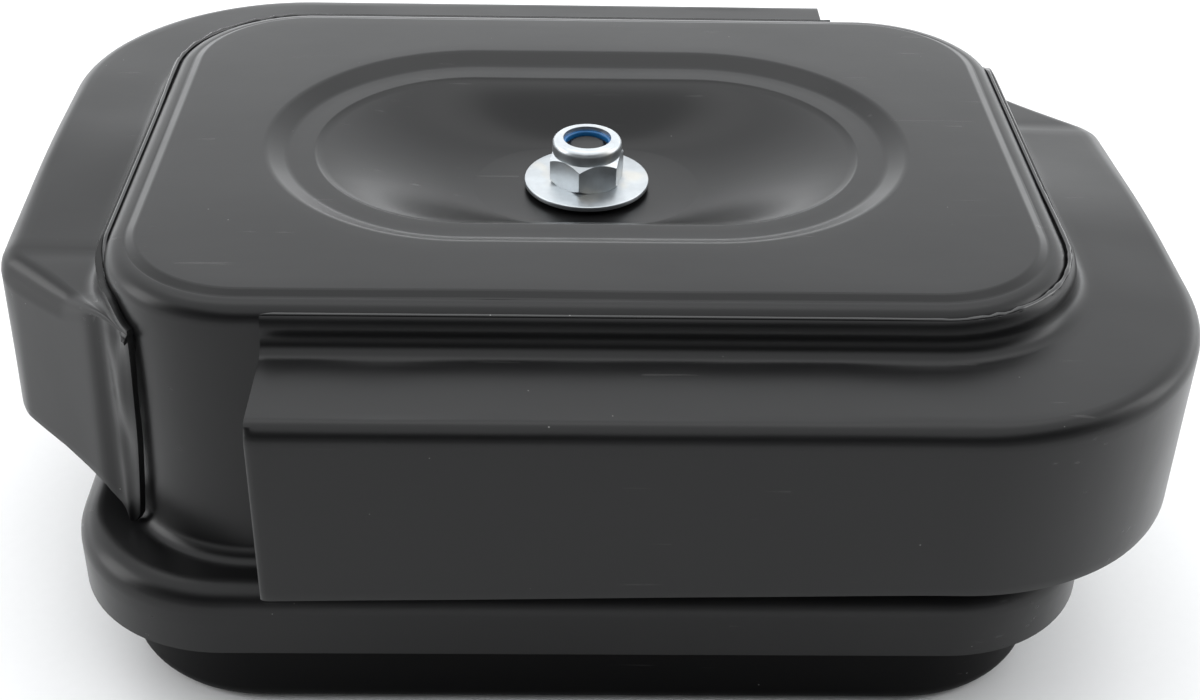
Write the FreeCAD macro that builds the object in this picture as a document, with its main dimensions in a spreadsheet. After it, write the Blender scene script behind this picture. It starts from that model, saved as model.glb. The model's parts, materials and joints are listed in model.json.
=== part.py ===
import FreeCAD, Part
import Sketcher
import math
import os

# Air filter housing of a small diesel engine.
# Frame: millimetres, +Z up, origin on the clamping stud's axis at the underside of the base pan,
# +X along the housing's length.  The housing is the same after half a turn about the stud.

V = FreeCAD.Vector
UP = V(0, 0, 1)

# Driving dimensions, each one a named cell of the sheet.
SIZES = {
    "sheet_metal": 1.2,
    # cover box: a rectangle of corner centres, and the radius about them
    "cover_core_x": 58.1, "cover_core_y": 34.4, "cover_radius": 26.6,
    "rim_top": 84.7, "plateau_top": 85.5, "rim_width": 4.8, "rim_rounding": 3.6,
    "shelf_top": 31.9, "shelf_fillet": 2.6,
    "skirt_core_x": 65.0, "skirt_core_y": 41.3, "skirt_radius": 29.3,
    "skirt_bottom": 18.3, "skirt_rounding": 4.5, "crease_half": 0.8, "crease_bend": 1.3,
    "section_overlap": 4.0,
    # dish for the nut: a stadium of two centres, a step, a ledge and a flat seat
    "dish_core_x": 21.8, "dish_radius": 39.1, "step_radius": 35.6, "ledge_radius": 29.4,
    "ledge_top": 83.75, "seat_core_x": 6.5, "seat_radius": 15.5, "seat_top": 75.2, "cover_bore": 9.0,
    "dish_lip": 1.5, "ledge_lip": 2.0, "ledge_bend": 1.5,
    # air windows in the long walls of the cover
    "window_width": 15.0, "window_height": 20.0, "window_middle": 58.0,
    "window_pitch": 22.0, "window_first": -24.0, "window_corner": 3.0, "window_count": 5,
    # air shrouds
    "shroud_core_x": 61.6, "shroud_core_y": 39.0, "shroud_radius": 45.5,
    "shroud_top": 77.8, "shroud_bottom": 43.9, "shroud_rounding": 3.5,
    "shroud_open_end": -54.0, "tab_top": 83.8, "tab_fillet": 3.0, "tab_gap": 0.05,
    "closing_x": 107.1, "closing_y": 27.0, "closing_angle": 137.0,
    "tongue_length": 37.6, "tongue_bottom": 32.0, "tongue_top": 80.0, "tongue_tip": 4.0,
    # base pan and what is fixed in it
    "base_core_x": 59.5, "base_core_y": 35.8, "base_radius": 28.8,
    "base_height": 27.0, "base_rounding": 4.0, "base_flange": 3.4, "flange_bend": 1.6,
    "pad_length": 92.0, "pad_width": 70.0, "pad_corner": 20.0, "pad_rise": 1.6,
    "outlet_diameter": 38.0, "collar_top": 9.5, "collar_flange": 44.0,
    "bolt_spacing": 68.0, "bolt_hole": 8.6,
    "plate_length": 90.0, "plate_width": 68.0, "plate_corner": 18.0, "plate_thickness": 3.0,
    "gasket_length": 88.0, "gasket_width": 51.0, "gasket_corner": 20.0,
    "gasket_thickness": 1.5, "gasket_bore": 39.0,
    "bridge_width": 18.0, "bridge_top": 16.5, "bridge_metal": 2.4, "bridge_half_span": 20.0,
    "bridge_foot_in": 24.5, "bridge_foot_out": 33.5, "bridge_top_bend": 3.6, "bridge_foot_bend": 1.2,
    "rivet_x": 6.0, "rivet_y": 29.5, "rivet_diameter": 4.0, "rivet_head": 6.4,
    "rivet_head_height": 1.2, "rivet_dome": 0.3, "collar_clearance": 0.8,
    "rim_seal_in": 1.6, "rim_seal_out": 1.6, "rim_seal_height": 3.6,
    # clamping stud and its nuts
    "stud_diameter": 8.0, "stud_top": 84.4, "stud_head": 13.0, "stud_head_height": 3.6,
    "thread_pitch": 1.25, "thread_depth": 0.65, "thread_start": 58.0, "stud_chamfer": 0.8,
    "nut_across_flats": 13.0, "jam_nut_height": 5.0,
    # filter element
    "element_length": 151.6, "element_width": 103.6, "element_corner": 24.8,
    "opening_length": 114.0, "opening_width": 73.0, "opening_corner": 12.0,
    "seal_bottom": 1.3, "seal_height": 5.9, "end_plate": 0.8, "upper_plate_bottom": 66.0,
    "pleat_core_x": 51.0, "pleat_core_y": 27.0, "pleat_in": 7.6, "pleat_out": 23.6,
    "pleat_count": 84, "paper_thickness": 0.8,
    "core_wall": 0.6, "core_gap": 0.3, "core_slot_length": 10.0, "core_slot_width": 5.0,
    "core_slot_rows": 6, "mesh_slot_length": 8.0, "mesh_slot_width": 4.0, "mesh_slot_rows": 7,
    "lower_seal_inset": 0.8,
    "stud_clearance": 9.2, "top_seal_diameter": 40.0, "top_seal_top": 73.9, "top_seal_lip": 30.0,
    "foam_gap": 0.5, "foam_thickness": 4.7, "foam_bottom": 8.3, "foam_top": 65.8,
    # lock nut stack
    "seal_washer_diameter": 22.0, "seal_washer_thickness": 0.8, "seal_washer_bore": 8.6,
    "washer_diameter": 24.0, "washer_thickness": 1.0, "washer_bore": 8.4,
    "nut_hex_height": 6.0, "nut_height": 8.6, "nut_bore": 8.12, "nut_turned": -11.5,
    "collar_diameter": 12.0, "insert_diameter": 10.4, "insert_height": 1.7, "insert_depth": 2.1,
}

doc = FreeCAD.newDocument("air_filter_housing")
sheet = doc.addObject("Spreadsheet::Sheet", "Sizes")
for row, (alias, value) in enumerate(SIZES.items(), start=1):
    sheet.set("A%d" % row, alias)
    sheet.set("B%d" % row, str(value))
    sheet.setAlias("B%d" % row, alias)
doc.recompute()


def size(alias):
    """The sheet's value of one driving dimension."""
    return float(getattr(sheet, alias))


# ---------------------------------------------------------------- outlines and sections

def outline_wire(core_x, core_y, radius, height):
    """A rounded rectangle: straight sides and arcs of one radius about four corner centres."""
    edges = []
    corners = [(1, 1, 0), (-1, 1, 90), (-1, -1, 180), (1, -1, 270)]
    ends = []
    for sign_x, sign_y, start in corners:
        centre = V(sign_x * core_x, sign_y * core_y, height)
        points = []
        for angle in (start, start + 45, start + 90):
            turn = math.radians(angle)
            points.append(centre + V(radius * math.cos(turn), radius * math.sin(turn), 0))
        edges.append(Part.Arc(*points).toShape())
        ends.append((points[0], points[2]))
    for index in range(4):
        start = ends[index][1]
        finish = ends[(index + 1) % 4][0]
        if start.distanceToPoint(finish) > 1e-6:
            edges.append(Part.LineSegment(start, finish).toShape())
    return Part.Wire(Part.__sortEdges__(edges))


def outline_prism(core_x, core_y, radius, bottom, top):
    """An upright solid on a rounded rectangle."""
    face = Part.Face(outline_wire(core_x, core_y, radius, bottom))
    return face.extrude(V(0, 0, top - bottom))


def offset_corners(points, thickness):
    """The same bent line moved sideways by the sheet's thickness, with matching bend radii."""
    moved = []
    last = len(points) - 1
    for index, (out, height, bend) in enumerate(points):
        here = V(out, height, 0)
        before = here - V(*points[index - 1][:2], 0) if index > 0 else None
        after = V(*points[index + 1][:2], 0) - here if index < last else None
        before = (before or after).normalize()
        after = (after or before).normalize()
        normal_before = V(before.y, -before.x, 0)
        normal_after = V(after.y, -after.x, 0)
        middle = (normal_before + normal_after).normalize()
        stretch = thickness / middle.dot(normal_before)
        turn = before.x * after.y - before.y * after.x
        new_bend = bend + thickness if turn > 0 else bend - thickness
        new_bend = max(new_bend, 0.0) if bend else 0.0
        place = here + middle * stretch
        moved.append((place.x, place.y, new_bend))
    return moved


def bent_edges(points):
    """Lines and tangent arcs through (distance out, height, bend radius) corners."""
    edges = []
    start = V(points[0][0], 0, points[0][1])
    for index in range(1, len(points) - 1):
        out, height, bend = points[index]
        corner = V(out, 0, height)
        back = (V(points[index - 1][0], 0, points[index - 1][1]) - corner).normalize()
        ahead = (V(points[index + 1][0], 0, points[index + 1][1]) - corner).normalize()
        if bend <= 0:
            edges.append(Part.LineSegment(start, corner).toShape())
            start = corner
            continue
        half = back.getAngle(ahead) / 2
        reach = bend / math.tan(half)
        centre = corner + (back + ahead).normalize() * (bend / math.sin(half))
        first = corner + back * reach
        second = corner + ahead * reach
        middle = centre + (corner - centre).normalize() * bend
        edges.append(Part.LineSegment(start, first).toShape())
        edges.append(Part.Arc(first, middle, second).toShape())
        start = second
    finish = V(points[-1][0], 0, points[-1][1])
    edges.append(Part.LineSegment(start, finish).toShape())
    return edges


def sheet_section(points, thickness):
    """A closed section of bent sheet metal; the listed corners are on its outer side."""
    inner = offset_corners(points, thickness)
    edges = bent_edges(points) + bent_edges(inner)
    for near, far in ((points[0], inner[0]), (points[-1], inner[-1])):
        start = V(near[0], 0, near[1])
        finish = V(far[0], 0, far[1])
        edges.append(Part.LineSegment(start, finish).toShape())
    return Part.Face(Part.Wire(Part.__sortEdges__(edges)))


def carried_round(section, core_x, core_y):
    """A section taken once round a rounded rectangle: four straights and four quarter turns."""
    pieces = []
    quarters = [(1, 1, 0), (-1, 1, 90), (-1, -1, 180), (1, -1, 270)]
    for sign_x, sign_y, angle in quarters:
        centre = V(sign_x * core_x, sign_y * core_y, 0)
        turned = section.copy()
        turned.rotate(V(0, 0, 0), UP, angle)
        turned.translate(centre)
        pieces.append(turned.revolve(centre, UP, 90))
        run = 2 * (core_y if angle in (0, 180) else core_x)
        if run > 0:
            along = V(0, -run, 0) if angle == 0 else V(run, 0, 0)
            along = V(0, run, 0) if angle == 180 else along
            along = V(-run, 0, 0) if angle == 270 else along
            pieces.append(turned.extrude(along))
    return pieces


def joined(pieces):
    """One solid from pieces that share faces."""
    whole = pieces[0].multiFuse(pieces[1:])
    return whole.removeSplitter()


def plain_feature(label, shape, turned=0):
    """A sub-part whose shape is worked out in code, turned about the stud's axis if asked."""
    feature = doc.addObject("Part::Feature", label)
    feature.Label = label
    if shape.ShapeType == "Compound" and len(shape.Solids) == 1:
        shape = shape.Solids[0]
    feature.Shape = shape
    feature.Placement = FreeCAD.Placement(V(0, 0, 0), FreeCAD.Rotation(UP, turned))
    return feature


# ---------------------------------------------------------------- sketches and bodies

def new_body(label):
    """An empty body with its own label."""
    body = doc.addObject("PartDesign::Body", label)
    body.Label = label
    return body


def origin_plane(body, role):
    """One of the body's own origin planes."""
    for plane in body.Origin.OriginFeatures:
        if plane.Role == role:
            return plane
    raise RuntimeError("no plane " + role)


def new_sketch(body, name, height=None, role="XY_Plane"):
    """A sketch on an origin plane, raised by an expression."""
    sketch = body.newObject("Sketcher::SketchObject", name)
    sketch.AttachmentSupport = [(origin_plane(body, role), "")]
    sketch.MapMode = "FlatFace"
    if height is not None:
        sketch.setExpression("AttachmentOffset.Base.z", height)
    return sketch


def bind(sketch, index, name, expression):
    """Names a sketch dimension and ties it to the sheet."""
    sketch.renameConstraint(index, name)
    sketch.setExpression("Constraints." + name, expression)


def draw_rounded_rectangle(sketch, name, length, width, corner):
    """A centred rounded rectangle whose three sizes are expressions."""
    reach_x = 40.0
    reach_y = 30.0
    bend = 10.0
    first = sketch.GeometryCount
    places = [(1, 1, 0), (-1, 1, 90), (-1, -1, 180), (1, -1, 270)]
    for sign_x, sign_y, start in places:
        centre = V(sign_x * (reach_x - bend), sign_y * (reach_y - bend), 0)
        circle = Part.Circle(centre, UP, bend)
        begin = math.radians(start)
        sketch.addGeometry(Part.ArcOfCircle(circle, begin, begin + math.pi / 2), False)
    flat_x = reach_x - bend
    flat_y = reach_y - bend
    sides = [((flat_x, reach_y), (-flat_x, reach_y)), ((-reach_x, flat_y), (-reach_x, -flat_y)),
             ((-flat_x, -reach_y), (flat_x, -reach_y)), ((reach_x, -flat_y), (reach_x, flat_y))]
    for start, finish in sides:
        sketch.addGeometry(Part.LineSegment(V(*start, 0), V(*finish, 0)), False)
    for index in range(4):
        arc = first + index
        side = first + 4 + index
        next_arc = first + (index + 1) % 4
        sketch.addConstraint(Sketcher.Constraint("Tangent", arc, 2, side, 1))
        sketch.addConstraint(Sketcher.Constraint("Tangent", side, 2, next_arc, 1))
        direction = "Horizontal" if index % 2 == 0 else "Vertical"
        sketch.addConstraint(Sketcher.Constraint(direction, side))
    for index in range(1, 4):
        sketch.addConstraint(Sketcher.Constraint("Equal", first, first + index))
    sketch.addConstraint(Sketcher.Constraint("Symmetric", first, 3, first + 2, 3, -1, 1))
    radius = sketch.addConstraint(Sketcher.Constraint("Radius", first, bend))
    across = sketch.addConstraint(
        Sketcher.Constraint("DistanceX", first + 5, 1, first + 7, 1, 2 * reach_x))
    along = sketch.addConstraint(
        Sketcher.Constraint("DistanceY", first + 6, 1, first + 4, 1, 2 * reach_y))
    bind(sketch, radius, name + "_corner", corner)
    bind(sketch, across, name + "_length", length)
    bind(sketch, along, name + "_width", width)


def draw_circle(sketch, name, diameter, across=None, along=None):
    """A circle at the origin, or at a place given by expressions and its starting point."""
    start = V(0, 0, 0)
    if across is not None:
        start = V(across[1], along[1], 0)
    index = sketch.addGeometry(Part.Circle(start, UP, 3.0), False)
    if across is None:
        sketch.addConstraint(Sketcher.Constraint("Coincident", index, 3, -1, 1))
    else:
        for kind, place, word in (("DistanceX", across, "_across"), ("DistanceY", along, "_along")):
            if place[0] is None:
                axis = -1 if kind == "DistanceY" else -2
                sketch.addConstraint(Sketcher.Constraint("PointOnObject", index, 3, axis))
                continue
            ends = (-1, 1, index, 3) if place[1] > 0 else (index, 3, -1, 1)
            dimension = sketch.addConstraint(Sketcher.Constraint(kind, *ends, abs(place[1])))
            bind(sketch, dimension, name + word, place[0])
    round_size = sketch.addConstraint(Sketcher.Constraint("Diameter", index, 6.0))
    bind(sketch, round_size, name + "_diameter", diameter)


def draw_hexagon(sketch, across_flats, turned):
    """A regular hexagon about the origin; a construction circle holds its size."""
    half = 6.5
    corner = half / math.cos(math.pi / 6)
    start_turn = math.radians(turned - 90)
    points = []
    for index in range(6):
        turn = start_turn + index * math.pi / 3
        points.append(V(corner * math.cos(turn), corner * math.sin(turn), 0))
    circle = sketch.addGeometry(Part.Circle(V(0, 0, 0), UP, corner), True)
    sketch.addConstraint(Sketcher.Constraint("Coincident", circle, 3, -1, 1))
    first = sketch.GeometryCount
    for index in range(6):
        sketch.addGeometry(Part.LineSegment(points[index], points[(index + 1) % 6]), False)
    for index in range(6):
        after = first + (index + 1) % 6
        sketch.addConstraint(Sketcher.Constraint("Coincident", first + index, 2, after, 1))
        sketch.addConstraint(Sketcher.Constraint("PointOnObject", first + index, 1, circle))
    for index in range(1, 6):
        sketch.addConstraint(Sketcher.Constraint("Equal", first, first + index))
    spoke = sketch.addGeometry(Part.LineSegment(V(0, 0, 0), points[0]), True)
    sketch.addConstraint(Sketcher.Constraint("Coincident", spoke, 1, -1, 1))
    sketch.addConstraint(Sketcher.Constraint("Coincident", spoke, 2, first, 1))
    lean = sketch.addConstraint(
        Sketcher.Constraint("Angle", -1, 1, spoke, 1, start_turn))
    bind(sketch, lean, "turned", "(%s - 90) * 1 deg" % ("0" if turned == 0 else "Sizes.nut_turned"))
    width = sketch.addConstraint(Sketcher.Constraint("Diameter", circle, 2 * corner))
    bind(sketch, width, "across_corners", across_flats + " / cos(30)")


def pad(body, sketch, name, length):
    """Raises a sketch by an expression."""
    feature = body.newObject("PartDesign::Pad", name)
    feature.Profile = sketch
    feature.setExpression("Length", length)
    doc.recompute()
    return feature


def ring_body(label, outer, inner, bottom, height):
    """A flat ring between two rounded rectangles."""
    body = new_body(label)
    sketch = new_sketch(body, label + "_outline", bottom)
    draw_rounded_rectangle(sketch, "outer", *outer)
    draw_rounded_rectangle(sketch, "inner", *inner)
    pad(body, sketch, label + "_pad", height)
    return body


def washer_body(label, outer, inner, bottom, height):
    """A round washer."""
    body = new_body(label)
    sketch = new_sketch(body, label + "_outline", bottom)
    draw_circle(sketch, "outer", outer)
    draw_circle(sketch, "inner", inner)
    pad(body, sketch, label + "_pad", height)
    return body


def turned_body(label, points):
    """A turned piece from a closed line of (radius, height) places, once about the stud's axis."""
    body = new_body(label)
    sketch = new_sketch(body, label + "_section", role="XZ_Plane")
    for index, (radius, height) in enumerate(points):
        after = points[(index + 1) % len(points)]
        sketch.addGeometry(Part.LineSegment(V(radius, height, 0), V(*after, 0)), False)
    turn = body.newObject("PartDesign::Revolution", label + "_turn")
    turn.Profile = sketch
    turn.ReferenceAxis = (sketch, ["V_Axis"])
    turn.Angle = 360.0
    doc.recompute()
    return body


# ---------------------------------------------------------------- base

def base_pan():
    """Pressed pan: floor with a raised mounting pad, round bottom edge, wall and flange."""
    metal = size("sheet_metal")
    core_x = size("base_core_x")
    core_y = size("base_core_y")
    radius = size("base_radius")
    top = size("base_height")
    flat = radius - size("base_rounding") - size("section_overlap")
    section = sheet_section([
        (flat, 0, 0),
        (radius, 0, size("base_rounding")),
        (radius, top - metal, size("flange_bend")),
        (radius + size("base_flange"), top - metal, 0),
    ], -metal)
    pieces = carried_round(section, core_x, core_y)
    pieces.append(outline_prism(core_x, core_y, flat, 0, metal))
    pan = joined(pieces)
    corner = size("pad_corner")
    half_x = size("pad_length") / 2 - corner
    half_y = size("pad_width") / 2 - corner
    rise = size("pad_rise")
    boss = outline_prism(half_x, half_y, corner + metal, 0, rise + metal)
    recess = outline_prism(half_x, half_y, corner, -metal, rise)
    pan = pan.fuse(boss).cut(recess)
    below = V(0, 0, -metal)
    depth = rise + 3 * metal
    holes = [Part.makeCylinder(size("outlet_diameter") / 2, depth, below)]
    for side in (-1, 1):
        place = below + V(side * size("bolt_spacing") / 2, 0, 0)
        holes.append(Part.makeCylinder(size("bolt_hole") / 2, depth, place))
    for place_x, place_y in rivet_places():
        place = below + V(place_x, place_y, 0)
        holes.append(Part.makeCylinder(size("rivet_diameter") / 2, depth, place))
    pan = pan.cut(holes).removeSplitter()
    return plain_feature("base_pan", pan)


def rivet_places():
    """The four rivets of the stud bridge, in plan."""
    return [(side_x * size("rivet_x"), side_y * size("rivet_y"))
            for side_x in (-1, 1) for side_y in (-1, 1)]


def pad_top():
    """Height of the raised mounting pad inside the pan, as an expression."""
    return "(Sizes.pad_rise + Sizes.sheet_metal)"


def outlet_collar():
    """Flanged neck round the clean-air outlet."""
    metal = size("sheet_metal")
    floor = size("pad_rise") + metal
    bore = size("outlet_diameter") / 2
    flange = size("collar_flange") / 2
    top = size("collar_top")
    return turned_body("outlet_collar", [
        (bore, floor), (flange, floor), (flange, floor + metal),
        (bore + metal, floor + metal), (bore + metal, top), (bore, top),
    ])


def intake_gasket():
    """Gasket in the recess under the mounting pad."""
    body = new_body("intake_gasket")
    sketch = new_sketch(body, "intake_gasket_outline", "Sizes.pad_rise - Sizes.gasket_thickness")
    draw_rounded_rectangle(sketch, "outer", "Sizes.gasket_length", "Sizes.gasket_width",
                           "Sizes.gasket_corner")
    draw_circle(sketch, "bore", "Sizes.gasket_bore")
    for side in (-1, 1):
        draw_circle(sketch, "bolt_%d" % (side + 1), "Sizes.bolt_hole",
                    ("Sizes.bolt_spacing / 2", side * size("bolt_spacing") / 2), (None, 0.0))
    pad(body, sketch, "intake_gasket_pad", "Sizes.gasket_thickness")
    return body


def mounting_plate():
    """Thick plate inside the pan that takes the two intake bolts."""
    body = new_body("mounting_plate")
    sketch = new_sketch(body, "mounting_plate_outline", pad_top())
    draw_rounded_rectangle(sketch, "outer", "Sizes.plate_length", "Sizes.plate_width",
                           "Sizes.plate_corner")
    draw_circle(sketch, "bore", "Sizes.collar_flange + Sizes.collar_clearance")
    for side in (-1, 1):
        draw_circle(sketch, "bolt_%d" % (side + 1), "Sizes.bolt_hole",
                    ("Sizes.bolt_spacing / 2", side * size("bolt_spacing") / 2), (None, 0.0))
    for index, (place_x, place_y) in enumerate(rivet_places()):
        draw_circle(sketch, "rivet_%d" % index, "Sizes.rivet_diameter",
                    ("Sizes.rivet_x", place_x), ("Sizes.rivet_y", place_y))
    pad(body, sketch, "mounting_plate_pad", "Sizes.plate_thickness")
    return body


def bridge_foot_level():
    """Height of the mounting plate's upper face."""
    return size("pad_rise") + size("sheet_metal") + size("plate_thickness")


def stud_bridge():
    """Hat-shaped strap over the outlet that carries the stud."""
    metal = size("bridge_metal")
    top = size("bridge_top")
    foot = bridge_foot_level() + metal
    span = size("bridge_half_span")
    foot_in = size("bridge_foot_in")
    foot_out = size("bridge_foot_out")
    upper = size("bridge_top_bend")
    lower = size("bridge_foot_bend")
    section = sheet_section([
        (-foot_out, foot, 0), (-foot_in, foot, lower), (-span, top, upper),
        (span, top, upper), (foot_in, foot, lower), (foot_out, foot, 0),
    ], metal)
    section.rotate(V(0, 0, 0), UP, 90)
    width = size("bridge_width")
    section.translate(V(-width / 2, 0, 0))
    strap = section.extrude(V(width, 0, 0))
    depth = 2 * top
    cutters = [Part.makeCylinder(size("stud_diameter") / 2, depth)]
    for place_x, place_y in rivet_places():
        place = V(place_x, place_y, 0)
        cutters.append(Part.makeCylinder(size("rivet_diameter") / 2, depth, place))
    return plain_feature("stud_bridge", strap.cut(cutters))


def bridge_rivets():
    """Four solid rivets, one group."""
    metal = size("sheet_metal")
    under = size("pad_rise")
    over = bridge_foot_level() + size("bridge_metal")
    shank = size("rivet_diameter") / 2
    head = size("rivet_head") / 2
    head_height = size("rivet_head_height")
    dome = size("rivet_dome")
    section = Part.Face(Part.makePolygon([
        V(0, 0, under - head_height), V(head, 0, under - head_height), V(head, 0, under),
        V(shank, 0, under), V(shank, 0, over), V(head, 0, over),
        V(head * 0.75, 0, over + metal), V(0, 0, over + metal + dome),
        V(0, 0, under - head_height)]))
    rivet = section.revolve(V(0, 0, 0), UP, 360)
    group = []
    for place_x, place_y in rivet_places():
        copy = rivet.copy()
        copy.translate(V(place_x, place_y, 0))
        group.append(copy)
    return plain_feature("bridge_rivets", Part.makeCompound(group))


def centre_stud():
    """Stud with a head under the bridge and a thread on its upper end."""
    radius = size("stud_diameter") / 2
    head = size("stud_head") / 2
    under_bridge = size("bridge_top") - size("bridge_metal")
    head_bottom = under_bridge - size("stud_head_height")
    chamfer = size("stud_chamfer")
    points = [(0, head_bottom), (head, head_bottom), (head, under_bridge), (radius, under_bridge)]
    pitch = size("thread_pitch")
    root = radius - size("thread_depth")
    height = size("thread_start")
    while height + pitch < size("stud_top") - chamfer:
        points.append((radius, height))
        points.append((root, height + pitch / 2))
        height += pitch
    points.append((radius, height))
    points.append((radius, size("stud_top") - chamfer))
    points.append((radius - chamfer, size("stud_top")))
    points.append((0, size("stud_top")))
    return turned_body("centre_stud", points)


def hex_nut_body(label, bottom, height, bore, turned):
    """A plain hexagon nut blank with a round bore."""
    body = new_body(label)
    sketch = new_sketch(body, label + "_outline", bottom)
    draw_hexagon(sketch, "Sizes.nut_across_flats", turned)
    draw_circle(sketch, "bore", bore)
    pad(body, sketch, label + "_pad", height)
    return body


def stud_jam_nut():
    """Nut that holds the stud down on its bridge."""
    return hex_nut_body("stud_jam_nut", "Sizes.bridge_top", "Sizes.jam_nut_height",
                        "Sizes.stud_diameter", 0)


def rim_gasket():
    """Rubber ring on the pan's flange, under the cover's shelf."""
    body = new_body("rim_gasket")
    sketch = new_sketch(body, "rim_gasket_outline", "Sizes.base_height")
    for name, sign in (("outer", "+ Sizes.rim_seal_out"), ("inner", "- Sizes.rim_seal_in")):
        corner = "(Sizes.base_radius %s)" % sign
        draw_rounded_rectangle(sketch, name, "2 * (Sizes.base_core_x + %s)" % corner,
                               "2 * (Sizes.base_core_y + %s)" % corner, corner)
    pad(body, sketch, "rim_gasket_pad", "Sizes.rim_seal_height")
    return body


# ---------------------------------------------------------------- filter element

OPENING = ("Sizes.opening_length", "Sizes.opening_width", "Sizes.opening_corner")
ELEMENT = ("Sizes.element_length", "Sizes.element_width", "Sizes.element_corner")


def element_lower_seal():
    """Soft ring that seats the element on the pan's floor."""
    outer = ("Sizes.element_length - 2 * Sizes.lower_seal_inset",
             "Sizes.element_width - 2 * Sizes.lower_seal_inset",
             "Sizes.element_corner - Sizes.lower_seal_inset")
    return ring_body("element_lower_seal", outer, OPENING, "Sizes.seal_bottom",
                     "Sizes.seal_height")


def element_lower_plate():
    """Steel end plate with the clean-air opening."""
    return ring_body("element_lower_plate", ELEMENT, OPENING,
                     "Sizes.seal_bottom + Sizes.seal_height", "Sizes.end_plate")


def element_upper_plate():
    """Closed steel end plate with a hole for the stud."""
    body = new_body("element_upper_plate")
    sketch = new_sketch(body, "element_upper_plate_outline", "Sizes.upper_plate_bottom")
    draw_rounded_rectangle(sketch, "outer", *ELEMENT)
    draw_circle(sketch, "bore", "Sizes.stud_clearance")
    pad(body, sketch, "element_upper_plate_pad", "Sizes.end_plate")
    return body


def element_upper_seal():
    """Rubber bush between the element and the cover's seat."""
    bore = size("stud_clearance") / 2
    bottom = size("upper_plate_bottom") + size("end_plate")
    top = size("top_seal_top")
    middle = (bottom + top) / 2
    outer = size("top_seal_diameter") / 2
    lip = size("top_seal_lip") / 2
    slope = size("end_plate")
    return turned_body("element_upper_seal", [
        (bore, bottom), (outer, bottom), (outer, middle - slope), (lip, middle + slope),
        (lip, top), (bore, top),
    ])


def element_span():
    """Bottom and top of the space between the two end plates."""
    bottom = size("seal_bottom") + size("seal_height") + size("end_plate")
    return bottom, size("upper_plate_bottom")


def outline_place(core_x, core_y, radius, fraction):
    """The place and outward direction a fraction of the way round a rounded rectangle."""
    arc = radius * math.pi / 2
    run = fraction * (4 * core_x + 4 * core_y + 4 * arc)
    legs = [(2 * core_y, 0), (arc, 0), (2 * core_x, 1), (arc, 1),
            (2 * core_y, 2), (arc, 2), (2 * core_x, 3), (arc, 3)]
    centres = [(core_x, core_y), (-core_x, core_y), (-core_x, -core_y), (core_x, -core_y)]
    for index, (leg, quarter) in enumerate(legs):
        if run > leg:
            run -= leg
            continue
        centre = V(*centres[quarter], 0)
        start = math.radians(90 * quarter)
        if index % 2 == 0:
            out = V(math.cos(start), math.sin(start), 0)
            back = V(math.sin(start), -math.cos(start), 0) * (leg - run)
            return centre + out * radius + back, out
        turn = start + run / radius
        out = V(math.cos(turn), math.sin(turn), 0)
        return centre + out * radius, out
    return V(core_x + radius, -core_y, 0), V(1, 0, 0)


def paper_pleats():
    """Folded paper between the inner core and the outer mesh."""
    core_x = size("pleat_core_x")
    core_y = size("pleat_core_y")
    inside = size("pleat_in")
    outside = size("pleat_out")
    paper = size("paper_thickness")
    count = int(size("pleat_count"))
    middle = (inside + outside) / 2
    near = []
    far = []
    for index in range(2 * count):
        place, out = outline_place(core_x, core_y, middle, index / (2.0 * count))
        reach = outside - middle - paper if index % 2 else inside - middle
        near.append(place + out * reach)
        far.append(place + out * (reach + paper))
    bottom, top = element_span()
    outer_face = Part.Face(Part.makePolygon(far + [far[0]]))
    inner_face = Part.Face(Part.makePolygon(near + [near[0]]))
    paper_ring = outer_face.cut(inner_face)
    paper_ring.translate(V(0, 0, bottom))
    return plain_feature("paper_pleats", paper_ring.extrude(V(0, 0, top - bottom)))


def slotted_ring(label, radius, slot_length, slot_width, rows):
    """A thin upright band about the pleats with rows of slots on its four flat sides."""
    core_x = size("pleat_core_x")
    core_y = size("pleat_core_y")
    wall = size("core_wall")
    bottom, top = element_span()
    band = outline_prism(core_x, core_y, radius, bottom, top)
    band = band.cut(outline_prism(core_x, core_y, radius - wall, bottom, top))
    cutters = []
    reach = 2 * (core_x + radius + wall)
    for row in range(rows):
        height = bottom + (row + 0.5) * (top - bottom) / rows - slot_width / 2
        for half, across in ((core_x, True), (core_y, False)):
            count = int(2 * half // (slot_length * 1.5))
            for index in range(count):
                centre = (index - (count - 1) / 2.0) * slot_length * 1.5
                if across:
                    corner = V(centre - slot_length / 2, -reach / 2, height)
                    cutters.append(Part.makeBox(slot_length, reach, slot_width, corner))
                else:
                    corner = V(-reach / 2, centre - slot_length / 2, height)
                    cutters.append(Part.makeBox(reach, slot_length, slot_width, corner))
    return plain_feature(label, band.cut(cutters))


def inner_core():
    """Slotted steel band inside the pleats."""
    return slotted_ring("inner_core", size("pleat_in") - size("core_gap"),
                        size("core_slot_length"), size("core_slot_width"),
                        int(size("core_slot_rows")))


def outer_mesh():
    """Slotted steel band round the pleats."""
    radius = size("pleat_out") + size("core_gap") + size("core_wall")
    return slotted_ring("outer_mesh", radius, size("mesh_slot_length"), size("mesh_slot_width"),
                        int(size("mesh_slot_rows")))


def foam_prefilter():
    """Oiled foam sleeve that slips over the element."""
    sizes = []
    for grow in ("Sizes.foam_gap + Sizes.foam_thickness", "Sizes.foam_gap"):
        sizes.append(("Sizes.element_length + 2 * (%s)" % grow,
                      "Sizes.element_width + 2 * (%s)" % grow,
                      "Sizes.element_corner + %s" % grow))
    return ring_body("foam_prefilter", sizes[0], sizes[1], "Sizes.foam_bottom",
                     "Sizes.foam_top - Sizes.foam_bottom")


# ---------------------------------------------------------------- cover

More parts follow.
